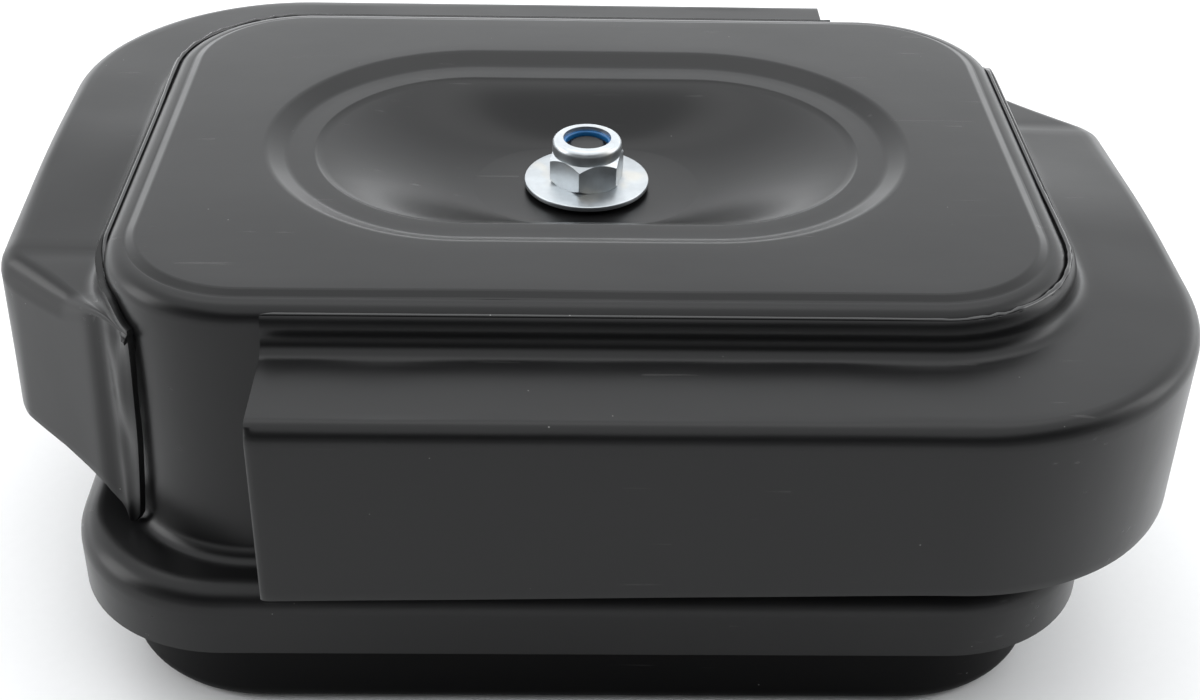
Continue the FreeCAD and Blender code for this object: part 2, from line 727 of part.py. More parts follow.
def stadium_wire(core_x, radius, height):
    """A stadium: two half circles and the straight sides between them."""
    edges = []
    ends = []
    for centre, begin in ((core_x, 270), (-core_x, 90)):
        trio = []
        for angle in (begin, begin + 90, begin + 180):
            turn = math.radians(angle)
            trio.append(V(centre + radius * math.cos(turn), radius * math.sin(turn), height))
        edges.append(Part.Arc(*trio).toShape())
        ends.append((trio[0], trio[2]))
    upper = Part.LineSegment(ends[0][1], ends[1][0]).toShape()
    lower = Part.LineSegment(ends[1][1], ends[0][0]).toShape()
    return Part.Wire([edges[0], upper, edges[1], lower])


def dish_solid(drop):
    """The space of the dish, from its ledge down to the flat seat."""
    top = stadium_wire(size("dish_core_x"), size("ledge_radius"), size("ledge_top") - drop)
    seat = stadium_wire(size("seat_core_x"), size("seat_radius"), size("seat_top") - drop)
    return Part.makeLoft([top, seat], True, True)


def cover_top():
    """Raised plateau, stepped ledge and dish."""
    metal = size("sheet_metal")
    plateau = size("plateau_top")
    core_x = size("dish_core_x")
    flat = size("cover_radius") - 2 * size("rim_width")
    edge = size("dish_radius") + size("dish_lip")
    panel = outline_prism(size("cover_core_x"), size("cover_core_y"), flat,
                          plateau - metal, plateau)
    panel = panel.cut(outline_prism(core_x, 0, edge, plateau - 2 * metal, plateau + metal))
    ledge = size("ledge_top")
    inner = size("ledge_radius") + size("ledge_lip")
    soft = size("ledge_bend")
    step = sheet_section([
        (inner, ledge, 0), (size("step_radius"), ledge, soft),
        (size("dish_radius"), plateau, soft + metal), (edge, plateau, 0),
    ], metal)
    pieces = [panel] + carried_round(step, core_x, 0)
    dish = dish_solid(0)
    lip = outline_prism(core_x, 0, inner, ledge - metal, ledge).cut(dish)
    pieces.append(lip)
    pieces.append(dish_solid(metal).cut(dish))
    return pieces


def window_cutters():
    """Round-cornered air windows, one row in each long wall, the same after half a turn."""
    width = size("window_width")
    height = size("window_height")
    middle = size("window_middle")
    corner = size("window_corner")
    wall = size("cover_core_y") + size("cover_radius")
    reach = 8 * size("sheet_metal")
    blank = Part.makeBox(width, 2 * reach, height,
                         V(-width / 2, -wall - reach, middle - height / 2))
    edges = [edge for edge in blank.Edges if abs(edge.tangentAt(0).y) > 0.9]
    blank = blank.makeFillet(corner, edges)
    cutters = []
    for index in range(int(size("window_count"))):
        cutter = blank.copy()
        cutter.translate(V(size("window_first") + index * size("window_pitch"), 0, 0))
        cutters.append(cutter)
        turned = cutter.copy()
        turned.rotate(V(0, 0, 0), UP, 180)
        cutters.append(turned)
    return cutters


def cover_shell():
    """Pressed cover: dished top, rolled rim, upright wall, shelf and skirt."""
    metal = size("sheet_metal")
    core_x = size("cover_core_x")
    core_y = size("cover_core_y")
    radius = size("cover_radius")
    rim = size("rim_top")
    shelf = size("shelf_top")
    crease = radius - size("rim_width")
    half = size("crease_half")
    soft = size("crease_bend")
    overlap = size("section_overlap")
    wall = sheet_section([
        (radius - 2 * size("rim_width"), size("plateau_top"), 0),
        (crease - half, size("plateau_top"), soft + metal),
        (crease + half, rim, soft),
        (radius, rim, size("rim_rounding")),
        (radius, shelf, size("shelf_fillet")),
        (radius + overlap, shelf, 0),
    ], metal)
    pieces = carried_round(wall, core_x, core_y)
    skirt_x = size("skirt_core_x")
    skirt_y = size("skirt_core_y")
    skirt = size("skirt_radius")
    flat = skirt - size("skirt_rounding") - metal
    outer = sheet_section([
        (flat, shelf, 0), (skirt, shelf, size("skirt_rounding")),
        (skirt, size("skirt_bottom"), 0),
    ], metal)
    pieces += carried_round(outer, skirt_x, skirt_y)
    shelf_plate = outline_prism(skirt_x, skirt_y, flat, shelf - metal, shelf)
    inside = outline_prism(core_x, core_y, radius + overlap, 0, shelf + metal)
    pieces.append(shelf_plate.cut(inside))
    pieces += cover_top()
    cover = joined(pieces)
    cutters = window_cutters()
    cutters.append(Part.makeCylinder(size("cover_bore") / 2, rim))
    return plain_feature("cover_shell", cover.cut(cutters).removeSplitter())


# ---------------------------------------------------------------- shrouds

def shroud_ring():
    """The whole ring that a shroud is cut from: tab, flat top and outer wall."""
    metal = size("sheet_metal")
    cover_x = size("cover_core_x")
    cover_y = size("cover_core_y")
    tab = size("cover_radius") + size("tab_gap") + metal
    top = size("shroud_top")
    fillet = size("tab_fillet")
    overlap = fillet + 2 * metal
    inner = sheet_section([
        (tab, size("tab_top"), 0), (tab, top, fillet), (tab + overlap, top, 0),
    ], metal)
    pieces = carried_round(inner, cover_x, cover_y)
    core_x = size("shroud_core_x")
    core_y = size("shroud_core_y")
    radius = size("shroud_radius")
    rounding = size("shroud_rounding")
    flat = radius - 2.5 * rounding
    outer = sheet_section([
        (flat, top, 0), (radius, top, rounding), (radius, size("shroud_bottom"), 0),
    ], metal)
    pieces += carried_round(outer, core_x, core_y)
    plate = outline_prism(core_x, core_y, flat, top - metal, top)
    pieces.append(plate.cut(outline_prism(cover_x, cover_y, tab + overlap, 0, top + metal)))
    return joined(pieces)


def closing_frame():
    """Start, direction along and direction out of the slanted wall that closes a shroud."""
    start = V(size("closing_x"), size("closing_y"), 0)
    angle = math.radians(size("closing_angle"))
    along = V(math.cos(angle), math.sin(angle), 0)
    out = V(along.y, -along.x, 0)
    return start, along, out


def closing_wall():
    """Slanted end wall with the tongue that lies on the cover's corner."""
    start, along, out = closing_frame()
    top = size("shroud_top")
    bottom = size("shroud_bottom")
    tongue_end = size("tongue_length")
    tongue_bottom = size("tongue_bottom")
    tongue_top = size("tongue_top")
    tip = size("tongue_tip")
    third = tongue_end / 3
    places = [(tip, top), (0, top - tip / 2), (-tip, top - tip), (-tip, bottom),
              (third, bottom - tip / 3), (2 * third, bottom - 1.25 * tip),
              (tongue_end - tip, tongue_bottom), (tongue_end - tip / 4, tongue_bottom),
              (tongue_end, tongue_bottom + tip / 4), (tongue_end, tongue_top),
              (tongue_end - 2 * tip, tongue_top), (tongue_end - 2.5 * tip, top)]
    points = [start + along * run + V(0, 0, height) for run, height in places]
    face = Part.Face(Part.makePolygon(points + [points[0]]))
    wall = face.extrude(out * -size("sheet_metal"))
    return wall.common(outline_prism(size("shroud_core_x"), size("shroud_core_y"),
                                     size("shroud_radius"), 0, size("tab_top")))


def shroud_shape():
    """The front shroud; the rear one is the same turned half round."""
    start, along, out = closing_frame()
    far = 4 * size("shroud_core_x")
    open_end = size("shroud_open_end")
    corners = [V(open_end, -far, 0), V(far, -far, 0), start - along * far,
               start + along * size("tongue_length"), V(0, 0, 0), V(open_end, 0, 0)]
    region = Part.Face(Part.makePolygon(corners + [corners[0]]))
    region = region.extrude(V(0, 0, 2 * size("tab_top")))
    kept = shroud_ring().common(region)
    body = kept.fuse(closing_wall()).removeSplitter()
    return max(body.Solids, key=lambda solid: solid.Volume)


def shrouds():
    """Front and rear air shrouds."""
    shape = shroud_shape()
    return [plain_feature("shroud_front", shape), plain_feature("shroud_rear", shape, 180)]


# ---------------------------------------------------------------- lock nut stack

def seal_washer():
    """Thin rubber washer on the cover's seat."""
    return washer_body("seal_washer", "Sizes.seal_washer_diameter", "Sizes.seal_washer_bore",
                       "Sizes.seat_top", "Sizes.seal_washer_thickness")


def large_washer():
    """Wide zinc-plated washer."""
    return washer_body("large_washer", "Sizes.washer_diameter", "Sizes.washer_bore",
                       "Sizes.seat_top + Sizes.seal_washer_thickness", "Sizes.washer_thickness")


NUT_BOTTOM = "Sizes.seat_top + Sizes.seal_washer_thickness + Sizes.washer_thickness"


def lock_nut():
    """Hexagon nut with a round collar that holds the nylon ring."""
    body = hex_nut_body("lock_nut", NUT_BOTTOM, "Sizes.nut_hex_height", "Sizes.nut_bore",
                        size("nut_turned"))
    collar = new_sketch(body, "lock_nut_collar", NUT_BOTTOM + " + Sizes.nut_hex_height")
    draw_circle(collar, "collar", "Sizes.collar_diameter")
    draw_circle(collar, "collar_bore", "Sizes.nut_bore")
    pad(body, collar, "lock_nut_collar_pad", "Sizes.nut_height - Sizes.nut_hex_height")
    room = new_sketch(body, "lock_nut_room", NUT_BOTTOM + " + Sizes.nut_height - Sizes.insert_depth")
    draw_circle(room, "room", "Sizes.insert_diameter")
    cut = body.newObject("PartDesign::Pocket", "lock_nut_room_cut")
    cut.Profile = room
    cut.setExpression("Length", "Sizes.insert_height")
    cut.Reversed = True
    doc.recompute()
    return body


def nut_insert():
    """Nylon ring held in the nut's collar."""
    return washer_body("nut_insert", "Sizes.insert_diameter", "Sizes.nut_bore",
                       NUT_BOTTOM + " + Sizes.nut_height - Sizes.insert_depth", "Sizes.insert_height")


# ---------------------------------------------------------------- all sub-parts

def build_all():
    """Every sub-part of the housing."""
    parts = [base_pan(), outlet_collar(), intake_gasket(), mounting_plate(), stud_bridge(),
             bridge_rivets(), centre_stud(), stud_jam_nut(), rim_gasket(),
             element_lower_seal(), element_lower_plate(), paper_pleats(), inner_core(),
             outer_mesh(), element_upper_plate(), element_upper_seal(), foam_prefilter(),
             cover_shell()]
    parts += shrouds()
    parts += [seal_washer(), large_washer(), lock_nut(), nut_insert()]
    return parts


def check_document():
    """Stops if any object of the document failed."""
    for item in doc.Objects:
        if "Invalid" in item.State or "Error" in item.State:
            raise RuntimeError("%s failed: %s" % (item.Name, item.State))


def main():
    """Builds, checks and writes every sub-part."""
    parts = build_all()
    doc.recompute()
    check_document()
    os.makedirs("parts", exist_ok=True)
    for part in parts:
        shape = part.Shape
        if shape.isNull() or not shape.isValid():
            raise RuntimeError(part.Label + " has no valid shape")
        box = shape.optimalBoundingBox()
        print("%-22s solids %d volume %9.1f  x %7.2f %7.2f  y %7.2f %7.2f  z %6.2f %6.2f" % (
            part.Label, len(shape.Solids), shape.Volume, box.XMin, box.XMax, box.YMin, box.YMax,
            box.ZMin, box.ZMax))
        shape.exportStep("parts/%s.step" % part.Label)


main()
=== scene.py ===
"""Air filter housing of a small diesel engine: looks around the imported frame."""
import json
import math

import bpy
from bpy.props import FloatProperty, FloatVectorProperty, IntProperty, PointerProperty
from mathutils import Matrix, Vector, noise


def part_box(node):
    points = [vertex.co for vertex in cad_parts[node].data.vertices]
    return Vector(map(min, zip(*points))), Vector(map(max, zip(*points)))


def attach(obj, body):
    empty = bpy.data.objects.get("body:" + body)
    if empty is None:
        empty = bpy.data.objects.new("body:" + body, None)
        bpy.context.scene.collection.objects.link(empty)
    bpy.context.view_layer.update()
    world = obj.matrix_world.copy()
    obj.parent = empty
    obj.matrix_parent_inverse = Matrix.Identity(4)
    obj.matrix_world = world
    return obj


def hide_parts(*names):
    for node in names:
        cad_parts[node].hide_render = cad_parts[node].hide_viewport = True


bl_info = {
    "name": "Air filter housing",
    "version": (1, 0, 0),
    "blender": (4, 5, 0),
    "location": "View3D > Sidebar > Housing",
    "description": "Builds a pressed steel air filter housing with its nut, element and studio",
    "category": "Object",
}

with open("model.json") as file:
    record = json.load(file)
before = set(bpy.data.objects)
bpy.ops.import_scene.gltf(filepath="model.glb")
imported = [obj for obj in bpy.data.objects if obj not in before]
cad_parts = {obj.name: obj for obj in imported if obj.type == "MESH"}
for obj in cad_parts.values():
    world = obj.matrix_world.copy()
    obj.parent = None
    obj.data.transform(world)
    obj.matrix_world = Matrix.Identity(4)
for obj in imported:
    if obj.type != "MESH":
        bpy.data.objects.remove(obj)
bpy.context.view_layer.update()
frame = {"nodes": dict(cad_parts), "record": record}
MM = 0.001


def box_mm(node):
    """Lowest and highest corner of a frame node, in millimetres."""
    low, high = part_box(node)
    return low / MM, high / MM


COVER_LOW, COVER_HIGH = box_mm("cover_shell")
SHROUD_LOW, SHROUD_HIGH = box_mm("shroud_front")
PAN_LOW, PAN_HIGH = box_mm("base_pan")
WASHER_LOW, WASHER_HIGH = box_mm("large_washer")
SEAL_LOW, SEAL_HIGH = box_mm("seal_washer")
NUT_LOW, NUT_HIGH = box_mm("lock_nut")
INSERT_LOW, INSERT_HIGH = box_mm("nut_insert")
STUD_LOW, STUD_HIGH = box_mm("centre_stud")
FOAM_LOW, FOAM_HIGH = box_mm("foam_prefilter")


# ---- sizes and colours

def length(title, about, default, low, high):
    """A size in millimetres that a user may change."""
    return FloatProperty(name=title, description=about, default=default, min=low, max=high)


def tint(title, about, default):
    """A colour that a user may change."""
    return FloatVectorProperty(name=title, description=about, subtype="COLOR", size=3,
                               default=default, min=0, max=1)


class HousingSizes(bpy.types.PropertyGroup):
    """Sizes of the pressings, in millimetres."""
    sheet: length("Sheet", "Thickness of the pressed steel", 1.2, 0.5, 3.0)
    skirt_reach: length("Skirt reach", "How far the skirt stands outside the wall", 9.6, 2, 20)
    wall_corner: length("Wall corner", "Corner radius of the cover's wall", 26.6, 5, 50)
    skirt_corner: length("Skirt corner", "Corner radius of the skirt", 29.3, 5, 50)
    rim_drop: length("Rim drop", "Height of the plateau over the rim", 0.8, 0, 3)
    shelf_height: length("Shelf height", "Height of the shelf over the skirt", 31.9, 20, 50)
    ledge_drop: length("Ledge drop", "Depth of the ledge under the plateau", 1.75, 0.2, 5)
    seat_drop: length("Seat drop", "Depth of the seat under the plateau", 10.3, 2, 20)
    dish_core: length("Dish core", "Half the distance between the dish's end centres", 21.8, 0, 60)
    dish_radius: length("Dish radius", "Radius of the dish's ends", 39.3, 20, 60)
    seat_core: length("Seat core", "Half the distance between the seat's end centres", 6.5, 0, 20)
    seat_radius: length("Seat radius", "Radius of the flat seat's ends", 15.5, 13, 30)
    shroud_corner: length("Shroud corner", "Corner radius of the shroud's wall", 45.5, 10, 60)
    shroud_top: length("Shroud top", "Height of the shroud's flat top", 77.8, 60, 90)
    shroud_bottom: length("Shroud bottom", "Height of the shroud's lower edge", 43.9, 30, 60)
    pan_corner: length("Pan corner", "Corner radius of the base pan", 28.8, 5, 50)
    pan_flange: length("Pan flange", "Width of the pan's flange", 3.4, 0, 10)
    pan_rounding: length("Pan rounding", "Rounding of the pan's bottom edge", 4.0, 1, 15)
    closing_corner: length("Closing corner", "Where the slanted end wall starts", 27.0, 0, 60)
    closing_angle: FloatProperty(name="Closing angle", description="Direction of the end wall",
                                 default=math.radians(137.05), min=1.6, max=3.0, subtype="ANGLE")
    thread_pitch: length("Thread pitch", "Pitch of the stud's thread", 1.25, 0.5, 3)
    fineness: IntProperty(name="Fineness", description="Steps of a quarter-round corner",
                          default=22, min=6, max=60)


class HousingColours(bpy.types.PropertyGroup):
    """Colours of the finishes."""
    paint: tint("Paint", "Satin black paint", (0.0048, 0.0048, 0.005))
    # The pan's colour is darker than the cover's paint: painted shade for the shadow the pan sits
    # in under the skirt.
    pan: tint("Pan paint", "Darker paint of the pan", (0.0015, 0.0015, 0.0017))
    zinc: tint("Zinc", "Bright zinc plating", (0.52, 0.55, 0.57))
    nylon: tint("Nylon", "Locking ring", (0.01, 0.12, 0.32))
    rubber: tint("Rubber", "Seals", (0.012, 0.012, 0.012))
    paper: tint("Paper", "Pleated paper", (0.62, 0.42, 0.16))
    foam: tint("Foam", "Foam sleeve", (0.035, 0.036, 0.04))
    floor: tint("Floor", "Studio floor", (0.92, 0.92, 0.92))


# ---- shader arithmetic

class Field:
    """A socket that takes part in arithmetic; each operation adds a Math node."""

    def __init__(self, finish, socket):
        self.finish = finish
        self.socket = socket

    def math(self, operation, *others, flipped=False):
        """One Math node on this field and others."""
        terms = [self] + list(others)
        if flipped:
            terms.reverse()
        inputs = {index: term for index, term in enumerate(terms)}
        return self.finish.node("ShaderNodeMath", {"operation": operation}, inputs)

    def __add__(self, other):
        return self.math("ADD", other)

    __radd__ = __add__

    def __mul__(self, other):
        return self.math("MULTIPLY", other)

    __rmul__ = __mul__

    def __sub__(self, other):
        return self.math("SUBTRACT", other)

    def __rsub__(self, other):
        return self.math("SUBTRACT", other, flipped=True)

    def over(self, edge):
        """1 where this field is above the edge, else 0."""
        return self.math("GREATER_THAN", edge)

    def ramp(self, low, high):
        """0 below low, 1 above high, smooth between."""
        settings = {"interpolation_type": "SMOOTHSTEP"}
        return self.finish.node("ShaderNodeMapRange", settings,
                                {"Value": self, "From Min": low, "From Max": high})


class Network:
    """A node tree under construction."""

    def __init__(self, tree):
        self.tree = tree

    def node(self, kind, settings=None, inputs=None, output=0):
        """Adds a node: its settings first, then the values or links of its sockets."""
        made = self.tree.nodes.new(kind)
        for key, value in (settings or {}).items():
            setattr(made, key, value)
        for key, value in (inputs or {}).items():
            if isinstance(value, Field):
                self.tree.links.new(value.socket, made.inputs[key])
            else:
                made.inputs[key].default_value = value
        return Field(self, made.outputs[output])


class Finish(Network):
    """A procedural material under construction."""

    def __init__(self, name, **fixed):
        self.material = bpy.data.materials.new(name)
        self.material.use_nodes = True
        super().__init__(self.material.node_tree)
        self.shader = self.tree.nodes["Principled BSDF"]
        for socket, value in fixed.items():
            self.shader.inputs[socket.replace("_", " ")].default_value = value

    def place(self, stretch=(1, 1, 1), turn=(0, 0, 0)):
        """Object coordinates, stretched and turned."""
        where = self.node("ShaderNodeTexCoord", output="Object")
        return self.node("ShaderNodeMapping", {}, {"Vector": where, "Scale": stretch,
                                                   "Rotation": turn})

    def grain(self, size_mm, detail=2.0, rough=0.5, stretch=(1, 1, 1), turn=(0, 0, 0)):
        """Noise of about that feature size."""
        inputs = {"Vector": self.place(stretch, turn), "Scale": 1 / (size_mm * MM),
                  "Detail": detail, "Roughness": rough}
        return self.node("ShaderNodeTexNoise", {}, inputs)

    def specks(self, size_mm, share):
        """Small round spots on a random scatter."""
        inputs = {"Vector": self.place(), "Scale": 1 / (size_mm * MM)}
        distance = self.node("ShaderNodeTexVoronoi", {}, inputs)
        return 1 - distance.ramp(share * 0.5, share)

    def mix(self, share, first, second):
        """A colour between two."""
        inputs = {0: share, 6: first, 7: second}
        return self.node("ShaderNodeMix", {"data_type": "RGBA"}, inputs, output=2)

    def feed(self, socket, value):
        """Links a field to the shader."""
        self.tree.links.new(value.socket, self.shader.inputs[socket])

    def bump(self, height, depth_mm):
        """Links a height field of that depth to the shader's normal."""
        inputs = {"Height": height, "Distance": depth_mm * MM, "Strength": 1.0}
        self.feed("Normal", self.node("ShaderNodeBump", {}, inputs))


def rgba(colour, gain=1.0):
    """A four-part colour."""
    return tuple(min(1.0, part * gain) for part in colour[:3]) + (1.0,)


def satin_paint(name, colour, roughness, gloss, ripple):
    """Black paint on drawn steel: faint draw lines, orange peel, dust and light rub marks."""
    finish = Finish(name, Specular_IOR_Level=gloss)
    broad = finish.grain(38, 3.0, 0.55)
    patch = finish.grain(9, 4.0, 0.6)
    dust = finish.specks(5.2, 0.035) * finish.grain(21, 1.0).over(0.53)
    rubs = finish.grain(1.1, 1.0, 0.5, (0.045, 1, 1), (0, 0, 0.5)).ramp(0.70, 0.78)
    rubs = rubs * finish.grain(17, 1.0).over(0.56)
    tone = finish.mix(broad, rgba(colour, 0.82), rgba(colour, 1.25))
    tone = finish.mix(dust * 0.35 + rubs * 0.05, tone, (0.42, 0.42, 0.41, 1))
    finish.feed("Base Color", tone)
    finish.feed("Roughness", roughness + broad * 0.07 + patch * 0.05 - rubs * 0.05 + dust * 0.2)
    draw_lines = finish.grain(1.3, 3.0, 0.6, (0.11, 1, 0.5), (0, 0, 0.08))
    peel = finish.grain(0.9, 2.0, 0.5)
    waves = finish.grain(15, 2.0, 0.45)
    height = draw_lines * 0.25 * ripple + peel * 0.16 + waves * 4.0 * ripple + dust * 0.6
    finish.bump(height, 0.012)
    return finish.material


def zinc_plate(name, colour):
    """Bright zinc: bluish white with faint yellow, fine turning marks and dull patches."""
    finish = Finish(name, Metallic=1.0)
    cloud = finish.grain(3.2, 4.0, 0.6)
    fine = finish.grain(0.25, 2.0, 0.5)
    warm = finish.grain(6.0, 2.0).ramp(0.5, 0.75)
    tone = finish.mix(cloud, rgba(colour, 0.72), rgba(colour, 1.22))
    tone = finish.mix(warm * 0.3, tone, (0.74, 0.66, 0.52, 1))
    finish.feed("Base Color", tone)
    finish.feed("Roughness", 0.27 + cloud * 0.2 + fine * 0.06)
    finish.bump(fine * 0.5 + cloud * 0.6, 0.012)
    return finish.material


def bare_steel(name, tone, roughness):
    """Plain or tinned steel with streaks and small spots."""
    finish = Finish(name, Metallic=1.0)
    streak = finish.grain(0.8, 3.0, 0.6, (0.08, 1, 0.3))
    spots = finish.grain(4.5, 4.0, 0.65)
    finish.feed("Base Color", finish.mix(spots, rgba((tone, tone, tone), 0.75),
                                         rgba((tone, tone, tone), 1.15)))
    finish.feed("Roughness", roughness + streak * 0.1 + spots * 0.12)
    finish.bump(streak * 0.6 + spots * 0.4, 0.01)
    return finish.material


def dull_rubber(name, colour):
    """Moulded rubber with a powdery bloom."""
    finish = Finish(name, Specular_IOR_Level=0.35)
    bloom = finish.grain(7, 4.0, 0.65)
    pores = finish.grain(0.35, 2.0, 0.5)
    finish.feed("Base Color", finish.mix(bloom, rgba(colour, 0.8), rgba(colour, 2.2)))
    finish.feed("Roughness", 0.55 + bloom * 0.2)
    finish.bump(pores * 0.7 + bloom * 0.3, 0.03)
    return finish.material


def gasket_fibre(name):
    """Pressed fibre sheet."""
    finish = Finish(name, Specular_IOR_Level=0.3)
    fibre = finish.grain(0.6, 5.0, 0.7, (0.3, 1, 1))
    finish.feed("Base Color", finish.mix(fibre, (0.05, 0.05, 0.05, 1), (0.22, 0.21, 0.2, 1)))
    finish.feed("Roughness", 0.75 + fibre * 0.15)
    finish.bump(fibre, 0.05)
    return finish.material


def nylon_ring(name, colour):
    """Slightly translucent coloured nylon."""
    finish = Finish(name, IOR=1.52)
    haze = finish.grain(1.6, 3.0)
    finish.feed("Base Color", finish.mix(haze, rgba(colour, 0.75), rgba(colour, 1.3)))
    finish.feed("Roughness", 0.3 + haze * 0.15)
    finish.bump(finish.grain(0.3), 0.01)
    return finish.material


def pleat_paper(name, colour):
    """Resin-treated filter paper with fibres."""
    finish = Finish(name, Specular_IOR_Level=0.25)
    fibre = finish.grain(0.5, 5.0, 0.7, (1, 1, 0.35))
    stain = finish.grain(14, 3.0)
    tone = finish.mix(fibre, rgba(colour, 0.75), rgba(colour, 1.2))
    finish.feed("Base Color", finish.mix(stain * 0.4, tone, rgba(colour, 0.6)))
    finish.feed("Roughness", 0.8 + fibre * 0.1)
    finish.bump(fibre, 0.06)
    return finish.material


def open_foam(name, colour):
    """Oiled open-cell foam: a net of cells whose holes are darkened with painted shade."""
    finish = Finish(name, Specular_IOR_Level=0.3)
    inputs = {"Vector": finish.place(), "Scale": 1 / (1.25 * MM)}
    cells = finish.node("ShaderNodeTexVoronoi", {"feature": "DISTANCE_TO_EDGE"}, inputs)
    walls = 1 - cells.ramp(0.02, 0.22)
    oil = finish.grain(12, 3.0)
    # The holes between the cell walls get a much darker colour: painted shade in the cells'
    # recesses.
    tone = finish.mix(walls, rgba(colour, 0.12), rgba(colour, 1.6))
    finish.feed("Base Color", tone)
    finish.feed("Roughness", 0.62 - oil * 0.2 + walls * 0.15)
    finish.bump(walls, 0.35)
    return finish.material


def studio_floor_paint(name, colour):
    """Pale seamless floor with a barely visible grain."""
    finish = Finish(name, Specular_IOR_Level=0.2)
    grain = finish.grain(2.0, 3.0)
    finish.feed("Base Color", finish.mix(grain, rgba(colour, 0.985), rgba(colour, 1.01)))
    finish.feed("Roughness", 0.7 + grain * 0.1)
    return finish.material


MATERIALS = {}


def make_finishes(colours):
    """Every finish of the housing, by slot name."""
    MATERIALS["black_paint"] = satin_paint("satin_black_paint", colours.paint, 0.24, 0.275, 1.3)
    MATERIALS["seam_paint"] = satin_paint("seam_gloss_paint", colours.paint, 0.1, 0.6, 0.4)
    # The pan's darker colour is painted shade for the shadow under the skirt.
    MATERIALS["pan_paint"] = satin_paint("pan_black_paint_painted_shade", colours.pan, 0.42, 0.08, 0.6)
    MATERIALS["zinc_plate"] = zinc_plate("bright_zinc", colours.zinc)
    MATERIALS["stud_steel"] = bare_steel("stud_steel", 0.06, 0.42)
    MATERIALS["tinned_steel"] = bare_steel("tinned_steel", 0.42, 0.3)
    MATERIALS["rubber"] = dull_rubber("seal_rubber", colours.rubber)
    MATERIALS["gasket_sheet"] = gasket_fibre("gasket_fibre")
    MATERIALS["blue_nylon"] = nylon_ring("locking_nylon", colours.nylon)
    MATERIALS["filter_paper"] = pleat_paper("pleat_paper", colours.paper)
    MATERIALS["foam"] = open_foam("oiled_foam", colours.foam)
    MATERIALS["floor"] = studio_floor_paint("studio_floor", colours.floor)


# ---- outlines and sections

def outline(core_x, core_y, radius, corner_steps, long_steps, short_steps):
    """Places round a rounded rectangle, anticlockwise from the right side's lower end."""
    places = []
    sides = [((core_x + radius, -core_y), (core_x + radius, core_y), short_steps),
             ((core_x, core_y + radius), (-core_x, core_y + radius), long_steps),
             ((-core_x - radius, core_y), (-core_x - radius, -core_y), short_steps),
             ((-core_x, -core_y - radius), (core_x, -core_y - radius), long_steps)]
    centres = [(core_x, core_y), (-core_x, core_y), (-core_x, -core_y), (core_x, -core_y)]
    for index, (start, end, steps) in enumerate(sides):
        for step in range(steps):
            share = step / steps
            places.append((start[0] + (end[0] - start[0]) * share,
                           start[1] + (end[1] - start[1]) * share))
        for step in range(corner_steps):
            turn = math.radians(90) * (index + step / corner_steps)
            places.append((centres[index][0] + radius * math.cos(turn),
                           centres[index][1] + radius * math.sin(turn)))
    return places


def stadium_ray(core, radius, angle):
    """Distance from the middle to a stadium's edge in one direction."""
    across = abs(math.sin(angle))
    along = abs(math.cos(angle))
    if across > 1e-9 and radius / across * along <= core:
        return radius / across
    return core * along + math.sqrt(max(radius * radius - (core * across) ** 2, 0))


def bent_line(corners, steps):
    """Places along a bent line: each corner is (out, height, bend radius)."""
    places = [corners[0][:2]]
    for index in range(1, len(corners) - 1):
        out, height, bend = corners[index]
        here = Vector((out, height))
        back = (Vector(corners[index - 1][:2]) - here).normalized()
        ahead = (Vector(corners[index + 1][:2]) - here).normalized()
        if bend <= 0:
            places.append((out, height))
            continue
        half = back.angle(ahead) / 2
        reach = bend / math.tan(half)
        centre = here + (back + ahead).normalized() * (bend / math.sin(half))
        first = here + back * reach - centre
        second = here + ahead * reach - centre
        sweep = first.angle_signed(second)
        for step in range(steps + 1):
            spot = first.copy()
            spot.rotate(Matrix.Rotation(-sweep * step / steps, 2))
            places.append(tuple(centre + spot))
    places.append(corners[-1][:2])
    return places


def between(places, most):
    """The same line with its long runs divided."""
    filled = [places[0]]
    for start, end in zip(places, places[1:]):
        run = math.dist(start, end)
        count = max(1, math.ceil(run / most))
        for step in range(1, count + 1):
            share = step / count
            filled.append(tuple(a + (b - a) * share for a, b in zip(start, end)))
    return filled


def table(value, stops):
    """A value read off a broken line of (place, value) stops, smooth between them."""
    if value <= stops[0][0]:
        return stops[0][1]
    for (low, first), (high, second) in zip(stops, stops[1:]):
        if value <= high:
            share = (value - low) / (high - low)
            share = share * share * (3 - 2 * share)
            return first + (second - first) * share
    return stops[-1][1]


def straight_table(value, stops):
    """The same with straight runs between the stops."""
    if value <= stops[0][0]:
        return stops[0][1]
    for (low, first), (high, second) in zip(stops, stops[1:]):
        if value <= high:
            return first + (second - first) * (value - low) / (high - low)
    return stops[-1][1]


# ---- mesh helpers

def deselect():
    """Leaves edit mode and selects nothing."""
    if bpy.context.object and bpy.context.object.mode != "OBJECT":
        bpy.ops.object.mode_set(mode="OBJECT")
    bpy.ops.object.select_all(action="DESELECT")


def take(piece):
    """Makes one piece the selected and active one."""
    deselect()
    piece.select_set(True)
    bpy.context.view_layer.objects.active = piece


def edit_all(piece, operator, **settings):
    """Runs an edit-mode operator on all of a piece."""
    take(piece)
    bpy.ops.object.mode_set(mode="EDIT")
    bpy.ops.mesh.select_all(action="SELECT")
    operator(**settings)
    bpy.ops.object.mode_set(mode="OBJECT")


def shaped_grid(name, columns, rows, place):
    """A grid primitive whose crossings are moved to place(column, row), in millimetres."""
    deselect()
    bpy.ops.mesh.primitive_grid_add(x_subdivisions=columns, y_subdivisions=rows, size=2)
    piece = bpy.context.object
    piece.name = name
    for vertex in piece.data.vertices:
        column = round((vertex.co.x + 1) / 2 * columns)
        row = round((vertex.co.y + 1) / 2 * rows)
        vertex.co = Vector(place(column, row)) * MM
    edit_all(piece, bpy.ops.mesh.remove_doubles, threshold=1e-6)
    return piece


